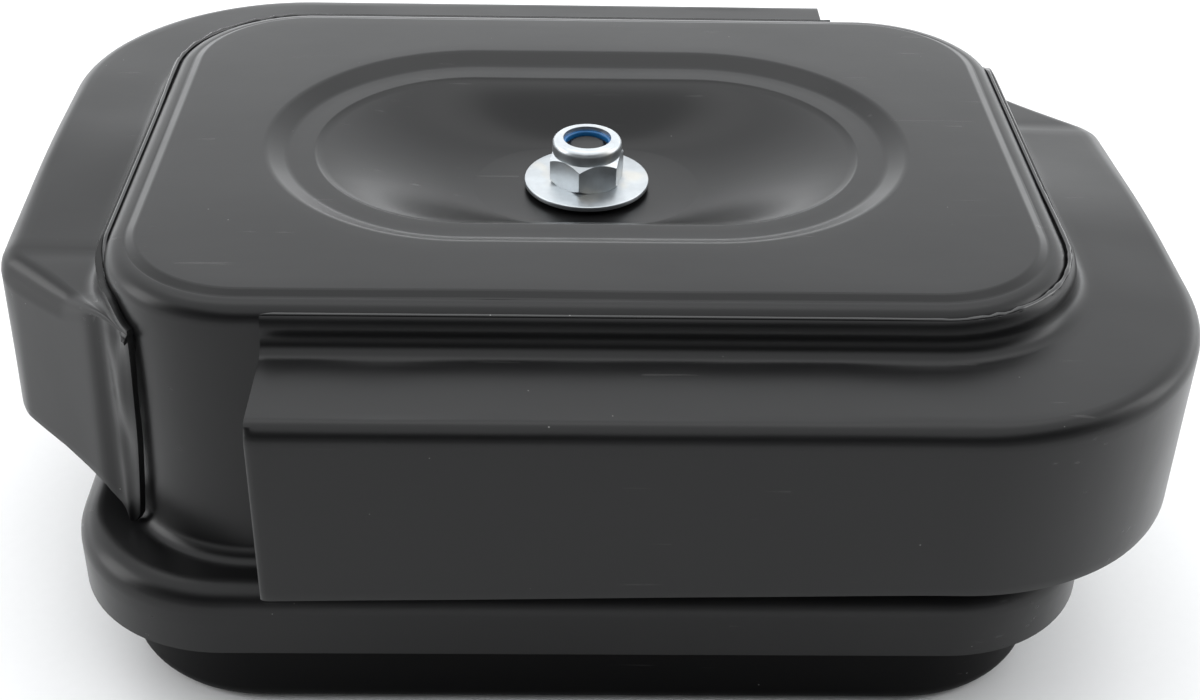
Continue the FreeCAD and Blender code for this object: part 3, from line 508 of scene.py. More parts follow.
def face_outwards(piece, inside):
    """Turns the faces so that they look away from a place inside, in millimetres."""
    middle = Vector(inside) * MM
    piece.data.update()
    tally = 0.0
    for face in piece.data.polygons:
        tally += face.normal.dot(face.center - middle) * face.area
    if tally < 0:
        edit_all(piece, bpy.ops.mesh.flip_normals)


def use_modifier(piece, kind, **settings):
    """Adds a modifier, sets it and applies it."""
    take(piece)
    bpy.ops.object.modifier_add(type=kind)
    modifier = piece.modifiers[-1]
    for key, value in settings.items():
        setattr(modifier, key, value)
    bpy.ops.object.modifier_apply(modifier=modifier.name)


def soften(piece, width, steps, least):
    """Rounds the edges that turn by more than the least angle, in degrees."""
    use_modifier(piece, "BEVEL", width=width * MM, segments=steps, limit_method="ANGLE",
                 angle_limit=math.radians(least))


def thicken(piece, thickness):
    """Gives a surface its sheet thickness, inwards."""
    use_modifier(piece, "SOLIDIFY", thickness=thickness * MM, offset=-1.0, use_even_offset=True,
                 use_quality_normals=True)


def combine(piece, tool, operation):
    """A boolean with a tool piece, which is used up."""
    use_modifier(piece, "BOOLEAN", operation=operation, solver="EXACT", object=tool)
    bpy.data.objects.remove(tool)


def freeze(piece):
    """Puts the piece's place into its mesh."""
    take(piece)
    bpy.ops.object.transform_apply(location=True, rotation=True, scale=True)


def finish_piece(piece, body, slot, replaced=(), sharp=35):
    """Shades, paints and places a finished piece on its body."""
    freeze(piece)
    bpy.ops.object.shade_smooth_by_angle(angle=math.radians(sharp))
    piece.data.materials.clear()
    piece.data.materials.append(MATERIALS[slot])
    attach(piece, body)
    if replaced:
        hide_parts(*replaced)
    return piece


def cylinder(name, radius, low, high, sides=96, place=(0, 0)):
    """An upright cylinder between two heights, in millimetres."""
    deselect()
    middle = Vector((place[0], place[1], (low + high) / 2)) * MM
    bpy.ops.mesh.primitive_cylinder_add(vertices=sides, radius=radius * MM,
                                        depth=(high - low) * MM, location=middle)
    piece = bpy.context.object
    piece.name = name
    freeze(piece)
    return piece


def bore(piece, radius, low, high, sides=96, place=(0, 0)):
    """Cuts a round hole through a piece between two heights."""
    combine(piece, cylinder("bore_tool", radius, low, high, sides, place), "DIFFERENCE")


def bevel_rings(piece, heights, width, steps):
    """Rounds the level edges at the given heights."""
    take(piece)
    for edge in piece.data.edges:
        ends = [piece.data.vertices[index].co.z / MM for index in edge.vertices]
        edge.select = any(max(abs(end - level) for end in ends) < 0.01 for level in heights)
    for group in (piece.data.polygons, piece.data.vertices):
        for item in group:
            item.select = False
    for edge in piece.data.edges:
        if edge.select:
            for index in edge.vertices:
                piece.data.vertices[index].select = True
    bpy.ops.object.mode_set(mode="EDIT")
    bpy.ops.mesh.select_mode(type="EDGE")
    bpy.ops.mesh.bevel(offset=width * MM, segments=steps, profile=0.5, affect="EDGES")
    bpy.ops.object.mode_set(mode="OBJECT")


def waviness(x, y, z, size, depth):
    """A soft unevenness of the sheet."""
    return noise.noise(Vector((x / size, y / size, z / size))) * depth


# ---- cover

class HOUSING_OT_cover(bpy.types.Operator):
    """Pressed cover with its dish, rim, wall, shelf, skirt and air windows"""
    bl_idname = "housing.cover"
    bl_label = "Cover"

    def levels(self, sizes):
        """Outer family of loops: (distance outside the wall, height, corner radius)."""
        top = COVER_HIGH.z
        rim = top - sizes.rim_drop
        shelf = sizes.shelf_height
        reach = sizes.skirt_reach
        inner, crease, foot = -13.0, -5.7, -4.1
        fillet, rounding = 3.0, 5.0
        line = bent_line([
            (inner, top, 0), (crease, top, 1.5), (foot, rim, 1.4), (0, rim, 3.6),
            (0, shelf, fillet), (reach, shelf, rounding), (reach, COVER_LOW.z, 0)], 7)
        radii = [(inner, sizes.wall_corner + inner), (fillet, sizes.wall_corner + fillet),
                 (reach - rounding, sizes.skirt_corner - rounding), (reach, sizes.skirt_corner)]
        filled = between(line, 4.0)
        return [(out, height, straight_table(out, radii)) for out, height in filled]

    def execute(self, context):
        sizes = context.scene.housing_sizes
        corner_steps = sizes.fineness
        long_steps = corner_steps + 10
        short_steps = corner_steps
        half_x = COVER_HIGH.x - sizes.skirt_reach
        half_y = COVER_HIGH.y - sizes.skirt_reach
        loops = []
        for out, height, radius in self.levels(sizes):
            ring = outline(half_x + out - radius, half_y + out - radius, radius,
                           corner_steps, long_steps, short_steps)
            loops.append([(x, y, height) for x, y in ring])
        loops = self.dish(sizes, loops[0]) + loops
        count = len(loops[0])
        plain_rows = 40

        def place(column, row):
            x, y, z = loops[row][column % count]
            if row < len(loops) - plain_rows:
                z += waviness(x, y, 0, 30, 0.10) * table(math.hypot(x, y), [(24, 0), (40, 1)])
            return x, y, z

        shell = shaped_grid("cover_pressing", count, len(loops) - 1, place)
        face_outwards(shell, (0, 0, 40))
        thicken(shell, sizes.sheet)
        self.cut_windows(shell, sizes)
        finish_piece(shell, "cover", "black_paint", ["cover_shell"])
        return {"FINISHED"}

    def dish(self, sizes, first_loop):
        """Inner family of loops, from the stud's hole out to the plateau."""
        top = COVER_HIGH.z
        ledge = top - sizes.ledge_drop
        seat = top - sizes.seat_drop
        core = sizes.dish_core
        angles = [math.atan2(y, x) for x, y, z in first_loop]
        loops = []
        hole = 4.5
        for radius in (hole, 12.5):
            loops.append([(radius * math.cos(a), radius * math.sin(a), seat) for a in angles])
        for radius, height in ((sizes.seat_radius - 0.5, seat), (sizes.seat_radius, seat + 0.1)):
            rays = [stadium_ray(sizes.seat_core, radius, a) for a in angles]
            loops.append([(reach * math.cos(a), reach * math.sin(a), height)
                          for a, reach in zip(angles, rays)])
        ledge_width = 9.7
        ledge_edge = sizes.dish_radius - ledge_width
        steps = 24
        for step in range(1, steps):
            share = step / steps
            rise = 0.55 * share + 0.45 * (3 - 2 * share) * share * share
            height = seat + 0.1 + (ledge - 0.35 - seat - 0.1) * rise
            loop = []
            for a in angles:
                near = stadium_ray(sizes.seat_core, sizes.seat_radius, a)
                far = stadium_ray(core, ledge_edge - 0.2, a)
                reach = near + (far - near) * share
                loop.append((reach * math.cos(a), reach * math.sin(a), height))
            loops.append(loop)
        edge = between(bent_line([
            (ledge_edge - 0.2, ledge - 0.35, 0), (ledge_edge + 0.4, ledge, 0.8),
            (sizes.dish_radius - 4.0, ledge, 3.0), (sizes.dish_radius - 0.2, top, 3.2),
            (sizes.dish_radius + 3.5, top, 0)], 6), 3.0)
        for radius, height in edge:
            loop = []
            for a in angles:
                reach = stadium_ray(core, radius, a)
                loop.append((reach * math.cos(a), reach * math.sin(a), height))
            loops.append(loop)
        outside = first_loop
        inside = loops[-1]
        steps = 6
        for step in range(1, steps):
            share = step / steps
            loops.append([tuple(p + (q - p) * share for p, q in zip(near, far))
                          for near, far in zip(inside, outside)])
        return loops

    def cut_windows(self, shell, sizes):
        """Five round-cornered air windows in each long wall."""
        width = 15.0
        height = 20.0
        middle = 58.0
        first = -24.0
        pitch = 22.0
        windows = 5
        for side in (-1, 1):
            for index in range(windows):
                x = -side * (first + pitch * index)
                deselect()
                place = Vector((x, side * (COVER_HIGH.y - sizes.skirt_reach), middle)) * MM
                bpy.ops.mesh.primitive_cube_add(size=1, location=place,
                                                scale=(width * MM, 8 * MM, height * MM))
                tool = bpy.context.object
                freeze(tool)
                tool.data.update()
                for edge in tool.data.edges:
                    ends = [tool.data.vertices[i].co for i in edge.vertices]
                    edge.select = abs(ends[0].y - ends[1].y) > 4 * MM
                for face in tool.data.polygons:
                    face.select = False
                bpy.ops.object.mode_set(mode="EDIT")
                bpy.ops.mesh.select_mode(type="EDGE")
                bpy.ops.mesh.bevel(offset=3 * MM, segments=6, affect="EDGES")
                bpy.ops.object.mode_set(mode="OBJECT")
                combine(shell, tool, "DIFFERENCE")


# ---- shrouds

# along the slanted end wall, 0 at its bend and 1 at the tongue's end
TOP_SAG = [(-0.45, 0), (0.12, 2.6), (0.5, 2.8), (0.8, 1.6), (1.0, 2.6)]
TONGUE_DROP = [(0.1, 0), (0.45, 1.8), (0.62, 3.4), (0.72, 4.6), (0.8, 8.2), (0.86, 10.9),
               (0.9, 11.6), (0.955, 11.6), (0.98, 10.9), (1.0, 9.0)]
TAB_FALL = [(0.3, 0), (0.76, 4.0), (1.0, 7.8)]
EXTRA_ROUNDING = [(-0.3, 0), (0.15, 1.2), (0.8, 0)]
WALL_LEAN = [(0.0, 0), (0.2, 1), (0.7, 0.8), (1.0, 0.12)]
# dents: depth inwards, share along the wall and its spread, height and its spread
DENTS = [(1.1, 0.9, 0.045, 74, 3.2), (0.5, 0.9, 0.05, 51, 4), (-0.7, 0.93, 0.05, 62, 6)]
# rows of a cross-section, counted from the tab's top edge down to the wall's lower edge
TAB_ROWS, BEND_ROWS, FLAT_ROWS, WALL_ROWS = 5, 9, 9, 18


class HOUSING_OT_shrouds(bpy.types.Operator):
    """Two air shrouds: tab, flat top, rolled edge, wall and closing tongue"""
    bl_idname = "housing.shrouds"
    bl_label = "Shrouds"

    def paths(self, sizes):
        """Matching places of the tab line and of the outer wall, from open end to tongue."""
        gap = 0.12
        metal = sizes.sheet
        half_x = COVER_HIGH.x - sizes.skirt_reach
        half_y = COVER_HIGH.y - sizes.skirt_reach
        tab = sizes.wall_corner + gap + metal
        centre = Vector((half_x - sizes.wall_corner, half_y - sizes.wall_corner))
        far = Vector((SHROUD_HIGH.x, -SHROUD_LOW.y))
        outer = far - Vector((sizes.shroud_corner,) * 2)
        start = SHROUD_LOW.x
        inner_line = []
        outer_line = []
        straight = 46
        for step in range(straight):
            share = (step / straight) ** 1.45
            inner_line.append((start + (centre.x - start) * share, -centre.y - tab))
            outer_line.append((start + (outer.x - start) * share, -far.y))
        corner = 30
        for step in range(corner):
            turn = math.radians(-90 + 90 * step / corner)
            inner_line.append((centre.x + tab * math.cos(turn), -centre.y + tab * math.sin(turn)))
            outer_line.append((outer.x + sizes.shroud_corner * math.cos(turn),
                               -outer.y + sizes.shroud_corner * math.sin(turn)))
        # the end wall: a straight lying almost tangent to the cover's rear corner
        end_turn = math.radians(45)
        slant = sizes.closing_angle
        along = Vector((math.cos(slant), math.sin(slant)))
        meet = Vector((far.x, sizes.closing_corner))
        reach = (centre - meet).dot(along) - tab * (slant - math.pi / 2 - end_turn)
        bend = 6.0
        swing = slant - math.pi / 2
        trim = bend * math.tan(swing / 2)
        side_end = meet.y - trim
        side = 26
        inner_end = side_end + 1.0
        for step in range(side):
            share = step / side
            inner_line.append((centre.x + tab, -centre.y + (inner_end + centre.y) * share))
            outer_line.append((far.x, -outer.y + (side_end + outer.y) * share))
        # inner line to come: the rest of the side, then the corner arc up to the tongue
        rest = centre.y - inner_end
        arc = tab * end_turn
        # outer line to come: the bend, then the slanted wall
        bend_length = bend * swing
        wall_length = reach - trim
        count = 44
        bend_centre = Vector((far.x - bend, side_end))
        for step in range(count + 1):
            share = step / count
            run = share * (rest + arc)
            if run < rest:
                inner_line.append((centre.x + tab, inner_end + run))
            else:
                turn = (run - rest) / tab
                inner_line.append((centre.x + tab * math.cos(turn),
                                   centre.y + tab * math.sin(turn)))
            run = share * (bend_length + wall_length)
            if run < bend_length:
                turn = run / bend
                outer_line.append((bend_centre.x + bend * math.cos(turn),
                                   bend_centre.y + bend * math.sin(turn)))
            else:
                spot = meet + along * (trim + run - bend_length)
                outer_line.append((spot.x, spot.y))
        return inner_line, outer_line, straight + corner + side, count

    def section(self, width, tab_top, top, bottom, fillet, rounding):
        """(share of the way out, height) places of one cross-section, always the same number."""
        room = fillet + rounding + 0.2
        fit = min(1.0, width / room)
        fillet = fillet * fit
        rounding = rounding * fit
        places = []
        quarter = [math.radians(90) * step / (BEND_ROWS - 1) for step in range(BEND_ROWS)]
        for step in range(TAB_ROWS):
            places.append((0, tab_top + (top + fillet - tab_top) * step / TAB_ROWS))
        for turn in quarter:
            places.append((fillet * (1 - math.cos(turn)), top + fillet * (1 - math.sin(turn))))
        for step in range(1, FLAT_ROWS + 1):
            run = (width - fillet - rounding) * step / (FLAT_ROWS + 1)
            places.append((fillet + run, top))
        for turn in quarter:
            places.append((width - rounding * (1 - math.sin(turn)),
                           top - rounding * (1 - math.cos(turn))))
        for step in range(1, WALL_ROWS + 1):
            run = (bottom - top + rounding) * step / WALL_ROWS
            places.append((width, top - rounding + run))
        return places

    def execute(self, context):
        sizes = context.scene.housing_sizes
        inner_line, outer_line, slant_start, slant_count = self.paths(sizes)
        count = len(inner_line)
        sections = []
        for index in range(count):
            near = Vector(inner_line[index])
            far = Vector(outer_line[index])
            width = (far - near).length
            slant = (index - slant_start) / slant_count
            top = sizes.shroud_top - table(slant, TOP_SAG)
            bottom = sizes.shroud_bottom
            rise = straight_table(near.x, [(-54, -1.1), (55, 1.0)])
            bottom += rise * table(index, [(40, 1), (66, 0)])
            bottom -= straight_table(slant, TONGUE_DROP)
            tab_top = SHROUD_HIGH.z - table(slant, TAB_FALL)
            tab_top = max(tab_top, top + 0.3)
            rounding = 3.5 + table(slant, EXTRA_ROUNDING)
            row = self.section(width, tab_top, top, bottom, 3.2, rounding)
            out = (far - near).normalized() if width > 1e-6 else Vector((0.7, 0.7))
            sections.append((near, out, slant, row))

        rim_rounding = 3.6
        rim_start = COVER_HIGH.z - sizes.rim_drop - rim_rounding
        flat_start = TAB_ROWS + BEND_ROWS
        wall_start = flat_start + FLAT_ROWS + BEND_ROWS
        edge_roll = (0.6, 0.2, 0.05)

        def place(column, row):
            near, out, slant, places = sections[column]
            reach, height = places[row]
            spot = near + out * reach
            x, y, z = spot.x, spot.y, height
            if height > rim_start and row < TAB_ROWS + 3:
                rise = min(height - rim_start, 3.3)
                close = 0.95 * (rim_rounding - math.sqrt(rim_rounding ** 2 - rise * rise))
                x -= out.x * close
                y -= out.y * close
            if row > wall_start - 2 and slant > 0:
                low_share = (sizes.shroud_top - height) / 40
                lean = table(slant, WALL_LEAN)
                slip = table(slant, [(0.8, 0), (1.0, 3.4)]) * low_share
                x = min(x + (1.2 * lean + 0.732 * slip) * low_share, SHROUD_HIGH.x - 0.05)
                y += (3.2 * lean - 0.681 * slip) * low_share
                press = math.exp(-((slant - 0.8) / 0.055) ** 2) * 0.8
                for depth, along, length_spread, level, height_spread in DENTS:
                    press += depth * math.exp(-((slant - along) / length_spread) ** 2
                                              - ((height - level) / height_spread) ** 2)
                x -= 0.683 * press
                y -= 0.730 * press
            elif row > wall_start - 6:
                bulge = waviness(x, y, z, 32, 0.16)
                edge = min(1, abs(column) / 4)
                roll = edge_roll[column] if column < len(edge_roll) else 0
                x -= roll * out.x
                y -= roll * out.y
                x -= abs(bulge) * out.x * edge
                y -= abs(bulge) * out.y * edge
            if flat_start - 2 < row < flat_start + FLAT_ROWS + 1:
                z += waviness(x, y, 0, 22, 0.22)
            return x, y, z

        rows = len(sections[0][3]) - 1
        front = shaped_grid("front_shroud", count - 1, rows, place)
        face_outwards(front, (20, 0, 20))
        thicken(front, sizes.sheet)
        soften(front, 0.34, 3, 50)
        take(front)
        bpy.ops.object.duplicate(linked=False)
        rear = bpy.context.object
        rear.name = "rear_shroud"
        rear.rotation_euler.z = math.pi
        finish_piece(front, "cover", "black_paint", ["shroud_front"], sharp=40)
        finish_piece(rear, "cover", "black_paint", ["shroud_rear"], sharp=40)
        self.seam([entry for entry in sections if entry[2] < 0.62])
        return {"FINISHED"}

    def seam(self, sections):
        """Painted-over sealer squeezed out between each tab and the cover's rim."""
        around = 8

        def place(column, row):
            near, out, _, places = sections[column]
            lump = noise.noise(Vector((near.x / 2.1, near.y / 2.1, 3.0)))
            corner = table(near.x, [(48, 0), (66, 1)]) * table(-near.y, [(10, 0), (30, 1)])
            radius = 0.42 + 0.03 * lump + corner * max(0.0, 0.06 + 0.25 * lump)
            fade = min(1, column / 3, (len(sections) - 1 - column) / 3)
            radius *= max(0.05, fade)
            turn = 2 * math.pi * row / around
            reach = -1.86 + corner * 0.25 + radius * math.cos(turn)
            spot = near + out * reach
            height = places[0][1] - 0.22 + corner * 0.1 * lump
            return spot.x, spot.y, height + radius * math.sin(turn)

        bead = shaped_grid("front_seam", len(sections) - 1, around, place)
        edit_all(bead, bpy.ops.mesh.normals_make_consistent, inside=False)
        bpy.ops.object.duplicate(linked=False)
        twin = bpy.context.object
        twin.name = "rear_seam"
        twin.rotation_euler.z = math.pi
        for piece in (bead, twin):
            finish_piece(piece, "cover", "seam_paint", sharp=60)


# ---- base pan

class HOUSING_OT_pan(bpy.types.Operator):
    """Base pan with its round bottom edge, flange, raised pad and holes"""
    bl_idname = "housing.pan"
    bl_label = "Base pan"

    def execute(self, context):
        sizes = context.scene.housing_sizes
        corner_steps = sizes.fineness
        long_steps = corner_steps + 6
        short_steps = corner_steps
        flange = sizes.pan_flange
        half_x = PAN_HIGH.x - flange
        half_y = PAN_HIGH.y - flange
        top = PAN_HIGH.z - sizes.sheet
        radius = sizes.pan_corner
        pad_x, pad_y, pad_r = 46.0, 35.0, 20.0
        rise = 1.6
        outlet, bolt, bolt_place = 19.0, 4.3, 34.0
        rivet, rivet_x, rivet_y = 2.0, 6, 29.5
        wall = between(bent_line([
            (-20.0, 0, 0), (0, 0, sizes.pan_rounding), (0, top, 1.4), (flange, top, 0)], 9), 5.0)
        loops = []
        for out, height in wall:
            places = outline(half_x - radius + max(out, 0), half_y - radius + max(out, 0),
                             radius + min(out, 0), corner_steps, long_steps, short_steps)
            loops.append([(x, y, height) for x, y in places])
        pad = []
        for grow, height in ((-0.6, rise), (-0.2, rise - 0.15), (0.4, 0.25), (0.9, 0.0)):
            places = outline(pad_x - pad_r, pad_y - pad_r, pad_r + grow,
                             corner_steps, long_steps, short_steps)
            pad.append([(x, y, height) for x, y in places])
        inner = [[(x * share, y * share, rise) for x, y, z in pad[0]]
                 for share in (0.0005, 0.35, 0.7)]
        loops = inner + pad + loops
        count = len(loops[0])

        def place(column, row):
            return loops[row][column % count]

        shell = shaped_grid("base_pan_pressing", count, len(loops) - 1, place)
        face_outwards(shell, (0, 0, 20))
        use_modifier(shell, "SOLIDIFY", thickness=sizes.sheet * MM, offset=-1.0,
                     use_even_offset=True)
        holes = [(outlet, 0, 0), (bolt, bolt_place, 0), (bolt, -bolt_place, 0)]
        holes += [(rivet, x, y) for x in (-rivet_x, rivet_x) for y in (-rivet_y, rivet_y)]
        for hole_radius, x, y in holes:
            bore(shell, hole_radius, -2, 6, 64, (x, y))
        finish_piece(shell, "base", "pan_paint", ["base_pan"])
        return {"FINISHED"}


# ---- nut, washers and stud

class HOUSING_OT_lock(bpy.types.Operator):
    """Lock nut with its nylon ring, wide washer, seal washer and threaded stud"""
    bl_idname = "housing.lock"
    bl_label = "Nut and stud"

    def execute(self, context):
        sizes = context.scene.housing_sizes
        self.nut()
        self.washers()
        self.stud(sizes)
        return {"FINISHED"}

    def nut(self):
        """Hexagon with chamfered corners, and a rolled collar."""
        low = NUT_LOW.z
        high = NUT_HIGH.z
        shoulder = low + 6.2
        half_flats = 6.5
        turned_by = -131.5
        corner = half_flats / math.cos(math.pi / 6)
        nut = cylinder("lock_nut_body", corner, low, shoulder, 6)
        nut.rotation_euler.z = math.radians(turned_by)
        freeze(nut)
        turned = cylinder("chamfer_tool", corner - 0.05, low, shoulder, 128)
        bevel_rings(turned, [shoulder], 1.55, 1)
        bevel_rings(turned, [low], 0.75, 1)
        combine(nut, turned, "INTERSECT")
        collar = cylinder("lock_nut_collar", 6.65, shoulder - 0.9, high, 128)
        bevel_rings(collar, [high], 1.25, 10)
        bevel_rings(collar, [shoulder - 0.9], 0.7, 3)
        combine(nut, collar, "UNION")
        lip = 0.8
        bore(nut, 4.06, low - 1, INSERT_LOW.z + 0.1)
        bore(nut, 5.0, INSERT_LOW.z, high - lip)
        bore(nut, 4.6, high - lip - 0.1, high + 1)
        soften(nut, 0.14, 3, 32)
        finish_piece(nut, "nut", "zinc_plate", ["lock_nut"], sharp=26)
        ring = cylinder("nylon_ring", 4.98, INSERT_LOW.z + 0.05, high - lip - 0.03, 96)
        bore(ring, 4.1, INSERT_LOW.z - 1, INSERT_HIGH.z + 1)
        soften(ring, 0.25, 4, 50)
        finish_piece(ring, "nut", "blue_nylon", ["nut_insert"])

    def washers(self):
        """Wide zinc washer over a thin rubber one."""
        for name, low, high, hole, slot, node in (
                ("wide_washer", WASHER_LOW, WASHER_HIGH, 4.2, "zinc_plate", "large_washer"),
                ("rubber_washer", SEAL_LOW, SEAL_HIGH, 4.3, "rubber", "seal_washer")):
            disc = cylinder(name, high.x, low.z, high.z, 128)
            bore(disc, hole, low.z - 1, high.z + 1)
            soften(disc, 0.22, 4, 50)
            finish_piece(disc, "washer_stack", slot, [node])

    def stud(self, sizes):
        """Headed stud with a helical thread."""
        pitch = sizes.thread_pitch
        major = 4.0
        root = 3.4
        top = STUD_HIGH.z
        head_top = STUD_LOW.z + 3.6
        start = 58.0
        shank = cylinder("clamping_stud", major - 0.02, head_top - 0.2, start + 0.8, 64)
        core = cylinder("stud_core", root + 0.03, start, top, 64)
        bevel_rings(core, [top], 0.7, 3)
        head = cylinder("stud_head", STUD_HIGH.x, STUD_LOW.z, head_top, 96)
        bevel_rings(head, [STUD_LOW.z, head_top], 0.5, 4)
        deselect()
        bpy.ops.mesh.primitive_plane_add(size=1)
        thread = bpy.context.object
        thread.name = "stud_thread"
        bpy.ops.object.mode_set(mode="EDIT")
        bpy.ops.mesh.select_all(action="SELECT")
        bpy.ops.mesh.delete(type="ONLY_FACE")
        bpy.ops.object.mode_set(mode="OBJECT")
        ridge = [(root, 0.0), (major - 0.06, pitch * 0.43), (major - 0.06, pitch * 0.57),
                 (root, pitch)]
        order = [0, 1, 3, 2]
        for index, (radius, height) in zip(order, ridge):
            thread.data.vertices[index].co = Vector((radius, 0, start + height)) * MM
        turns = int((top - start - 1.9) / pitch)
        take(thread)
        bpy.ops.object.mode_set(mode="EDIT")
        bpy.ops.mesh.select_all(action="DESELECT")
        bpy.ops.object.mode_set(mode="OBJECT")
        for edge in thread.data.edges:
            heights = [thread.data.vertices[i].co.z for i in edge.vertices]
            edge.select = abs(heights[0] - heights[1]) > 0.9 * pitch * MM
        bpy.ops.object.mode_set(mode="EDIT")
        bpy.ops.mesh.delete(type="EDGE")
        bpy.ops.object.mode_set(mode="OBJECT")
        use_modifier(thread, "SCREW", angle=math.radians(360), screw_offset=pitch * MM,
                     iterations=turns, steps=48, render_steps=48, use_merge_vertices=True,
                     merge_threshold=1e-6)
        face_outwards(thread, (0, 0, (start + top) / 2))
        take(shank)
        for other in (core, head, thread):
            other.select_set(True)
        bpy.ops.object.join()
        finish_piece(shank, "base", "stud_steel", ["centre_stud"])


# ---- element and inner pieces

class HOUSING_OT_foam(bpy.types.Operator):
    """Foam sleeve round the element"""
    bl_idname = "housing.foam"
    bl_label = "Foam sleeve"

    def execute(self, context):
        sizes = context.scene.housing_sizes
        thickness = 4.7
        radius = 30.0
        core_x = FOAM_HIGH.x - radius
        core_y = FOAM_HIGH.y - radius
        soft = 1.7
        low = FOAM_LOW.z
        high = FOAM_HIGH.z
        line = between(bent_line([
            (0, (low + high) / 2, 0), (0, high, soft), (-thickness, high, soft),
            (-thickness, low, soft), (0, low, soft), (0, (low + high) / 2, 0)], 5), 3.0)
        steps = sizes.fineness
        loops = []
        for out, height in line:
            ring = outline(core_x, core_y, radius + out, steps, steps + 14, steps)
            loops.append([(x, y, height) for x, y in ring])
        count = len(loops[0])

        def place(column, row):
            x, y, z = loops[row][column % count]
            inwards = waviness(x, y, z, 14, 0.35) - 0.25
            length = math.hypot(x, y)
            outside = line[row][0] > -thickness / 2
            sign = 1 if outside else -1
            return x + x / length * inwards * sign, y + y / length * inwards * sign, z

        sleeve = shaped_grid("foam_sleeve", count, len(loops) - 1, place)
        edit_all(sleeve, bpy.ops.mesh.normals_make_consistent, inside=False)
        finish_piece(sleeve, "prefilter", "foam", ["foam_prefilter"], sharp=60)
        return {"FINISHED"}


class HOUSING_OT_inside(bpy.types.Operator):
    """Finishes of the frame's own pieces: plates, seals, paper, gaskets and bridge"""
    bl_idname = "housing.inside"
    bl_label = "Inner pieces"

    def execute(self, context):
        slots = {row["node"]: row["material_slot"] for row in frame["record"]["subparts"]}
        for name, node in frame["nodes"].items():
            node.data.materials.clear()
            node.data.materials.append(MATERIALS[slots[name]])
        return {"FINISHED"}


# ---- studio

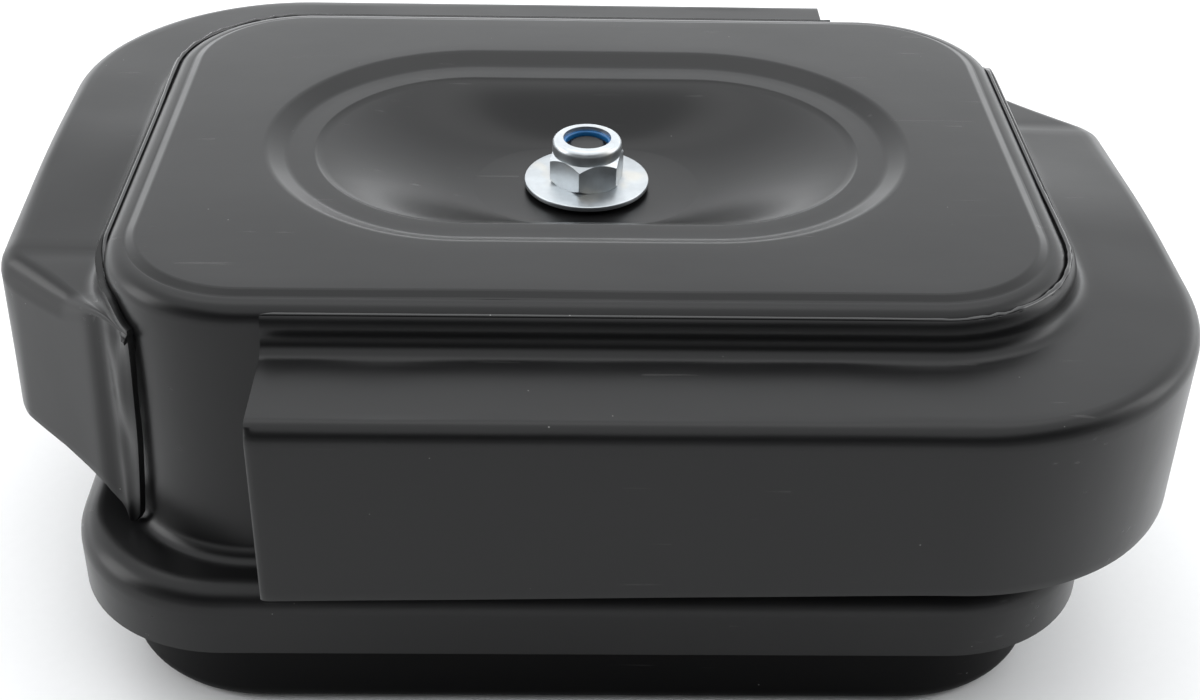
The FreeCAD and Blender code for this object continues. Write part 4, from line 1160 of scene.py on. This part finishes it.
class HOUSING_OT_studio(bpy.types.Operator):
    """Pale floor, soft lights and the camera"""
    bl_idname = "housing.studio"
    bl_label = "Studio"

    def execute(self, context):
        self.floor()
        self.sky()
        self.lights()
        self.camera(context)
        context.scene.view_settings.view_transform = "Standard"
        return {"FINISHED"}

    def floor(self):
        """A wide pale floor."""
        deselect()
        bpy.ops.mesh.primitive_plane_add(size=12, location=(0, 2, -0.0003))
        floor = bpy.context.object
        floor.name = "studio_floor"
        freeze(floor)
        floor.data.materials.append(MATERIALS["floor"])

    def soft_box(self, name, place, aim, width, height, power):
        """A rectangular area light aimed at a place."""
        light = bpy.data.lights.new(name, "AREA")
        light.shape = "RECTANGLE"
        light.size = width
        light.size_y = height
        light.energy = power
        holder = bpy.data.objects.new(name, light)
        bpy.context.scene.collection.objects.link(holder)
        holder.location = place
        holder.rotation_euler = (Vector(aim) - Vector(place)).to_track_quat("-Z", "Y").to_euler()

    def sky(self):
        """An even pale world, brighter low down behind and dim where the viewer stands."""
        world = bpy.data.worlds.new("studio_world")
        bpy.context.scene.world = world
        world.use_nodes = True
        work = Network(world.node_tree)
        where = work.node("ShaderNodeTexCoord", output="Generated")
        split = work.node("ShaderNodeSeparateXYZ", {}, {"Vector": where})
        back = Field(work, split.socket.node.outputs["Y"])
        height = Field(work, split.socket.node.outputs["Z"])
        glow = (1 - height.ramp(0.05, 0.32)) * back.ramp(0.1, 0.8)
        dim = 0.7 + height.ramp(0.22, 0.42) * 0.3
        dark = dim * (1 - height.ramp(0.66, 0.84)) * (0 - back).ramp(0.12, 0.42)
        strength = 0.04 + (1.65 + glow * 1.2) * (1 - dark)
        background = world.node_tree.nodes["Background"]
        background.inputs["Color"].default_value = (0.97, 0.985, 1.0, 1)
        work.tree.links.new(strength.socket, background.inputs["Strength"])

    def lights(self):
        """A wide soft box overhead and a dimmer one at each side."""
        middle = (0, 0, 0.05)
        self.soft_box("top_box", (0.0, 0.5, 1.4), middle, 1.6, 0.6, 3)
        self.soft_box("left_box", (-1.3, -0.1, 0.5), middle, 0.6, 0.8, 5)
        self.soft_box("right_box", (1.3, 0.1, 0.6), middle, 0.4, 0.8, 3)

    def camera(self, context):
        """A 55 mm lens looking down on the front."""
        lens = bpy.data.cameras.new("front_view")
        lens.sensor_width = 36.0
        lens.lens = 54.72
        lens.clip_start = 0.01
        holder = bpy.data.objects.new("front_view", lens)
        context.scene.collection.objects.link(holder)
        pitch = math.radians(33.70)
        yaw = math.radians(1.53)
        roll = math.radians(1.31)
        aim = (Matrix.Rotation(-yaw, 4, "Z") @ Matrix.Rotation(math.pi / 2 - pitch, 4, "X")
               @ Matrix.Rotation(roll, 4, "Z"))
        holder.matrix_world = Matrix.Translation((-0.00498, -0.31227, 0.24515)) @ aim
        context.scene.camera = holder


# ---- panel and registration

class HOUSING_PT_panel(bpy.types.Panel):
    """Sizes, colours and pieces of the housing"""
    bl_label = "Air filter housing"
    bl_idname = "HOUSING_PT_panel"
    bl_space_type = "VIEW_3D"
    bl_region_type = "UI"
    bl_category = "Housing"

    def draw(self, context):
        column = self.layout.column()
        for group in (context.scene.housing_sizes, context.scene.housing_colours):
            for name in group.bl_rna.properties.keys():
                if name not in ("rna_type", "name"):
                    column.prop(group, name)
        for operator in OPERATORS:
            column.operator(operator.bl_idname)


OPERATORS = (HOUSING_OT_inside, HOUSING_OT_cover, HOUSING_OT_shrouds, HOUSING_OT_pan,
             HOUSING_OT_lock, HOUSING_OT_foam, HOUSING_OT_studio)
CLASSES = (HousingSizes, HousingColours, HOUSING_PT_panel) + OPERATORS


def register():
    """Adds the classes and the two groups of properties."""
    for item in CLASSES:
        bpy.utils.register_class(item)
    bpy.types.Scene.housing_sizes = PointerProperty(type=HousingSizes)
    bpy.types.Scene.housing_colours = PointerProperty(type=HousingColours)


def unregister():
    """Takes them away again."""
    del bpy.types.Scene.housing_colours
    del bpy.types.Scene.housing_sizes
    for item in reversed(CLASSES):
        bpy.utils.unregister_class(item)


def main():
    """Builds everything in order."""
    register()
    make_finishes(bpy.context.scene.housing_colours)
    bpy.ops.housing.inside()
    bpy.ops.housing.cover()
    bpy.ops.housing.shrouds()
    bpy.ops.housing.pan()
    bpy.ops.housing.lock()
    bpy.ops.housing.foam()
    bpy.ops.housing.studio()


if __name__ == "__main__":
    main()
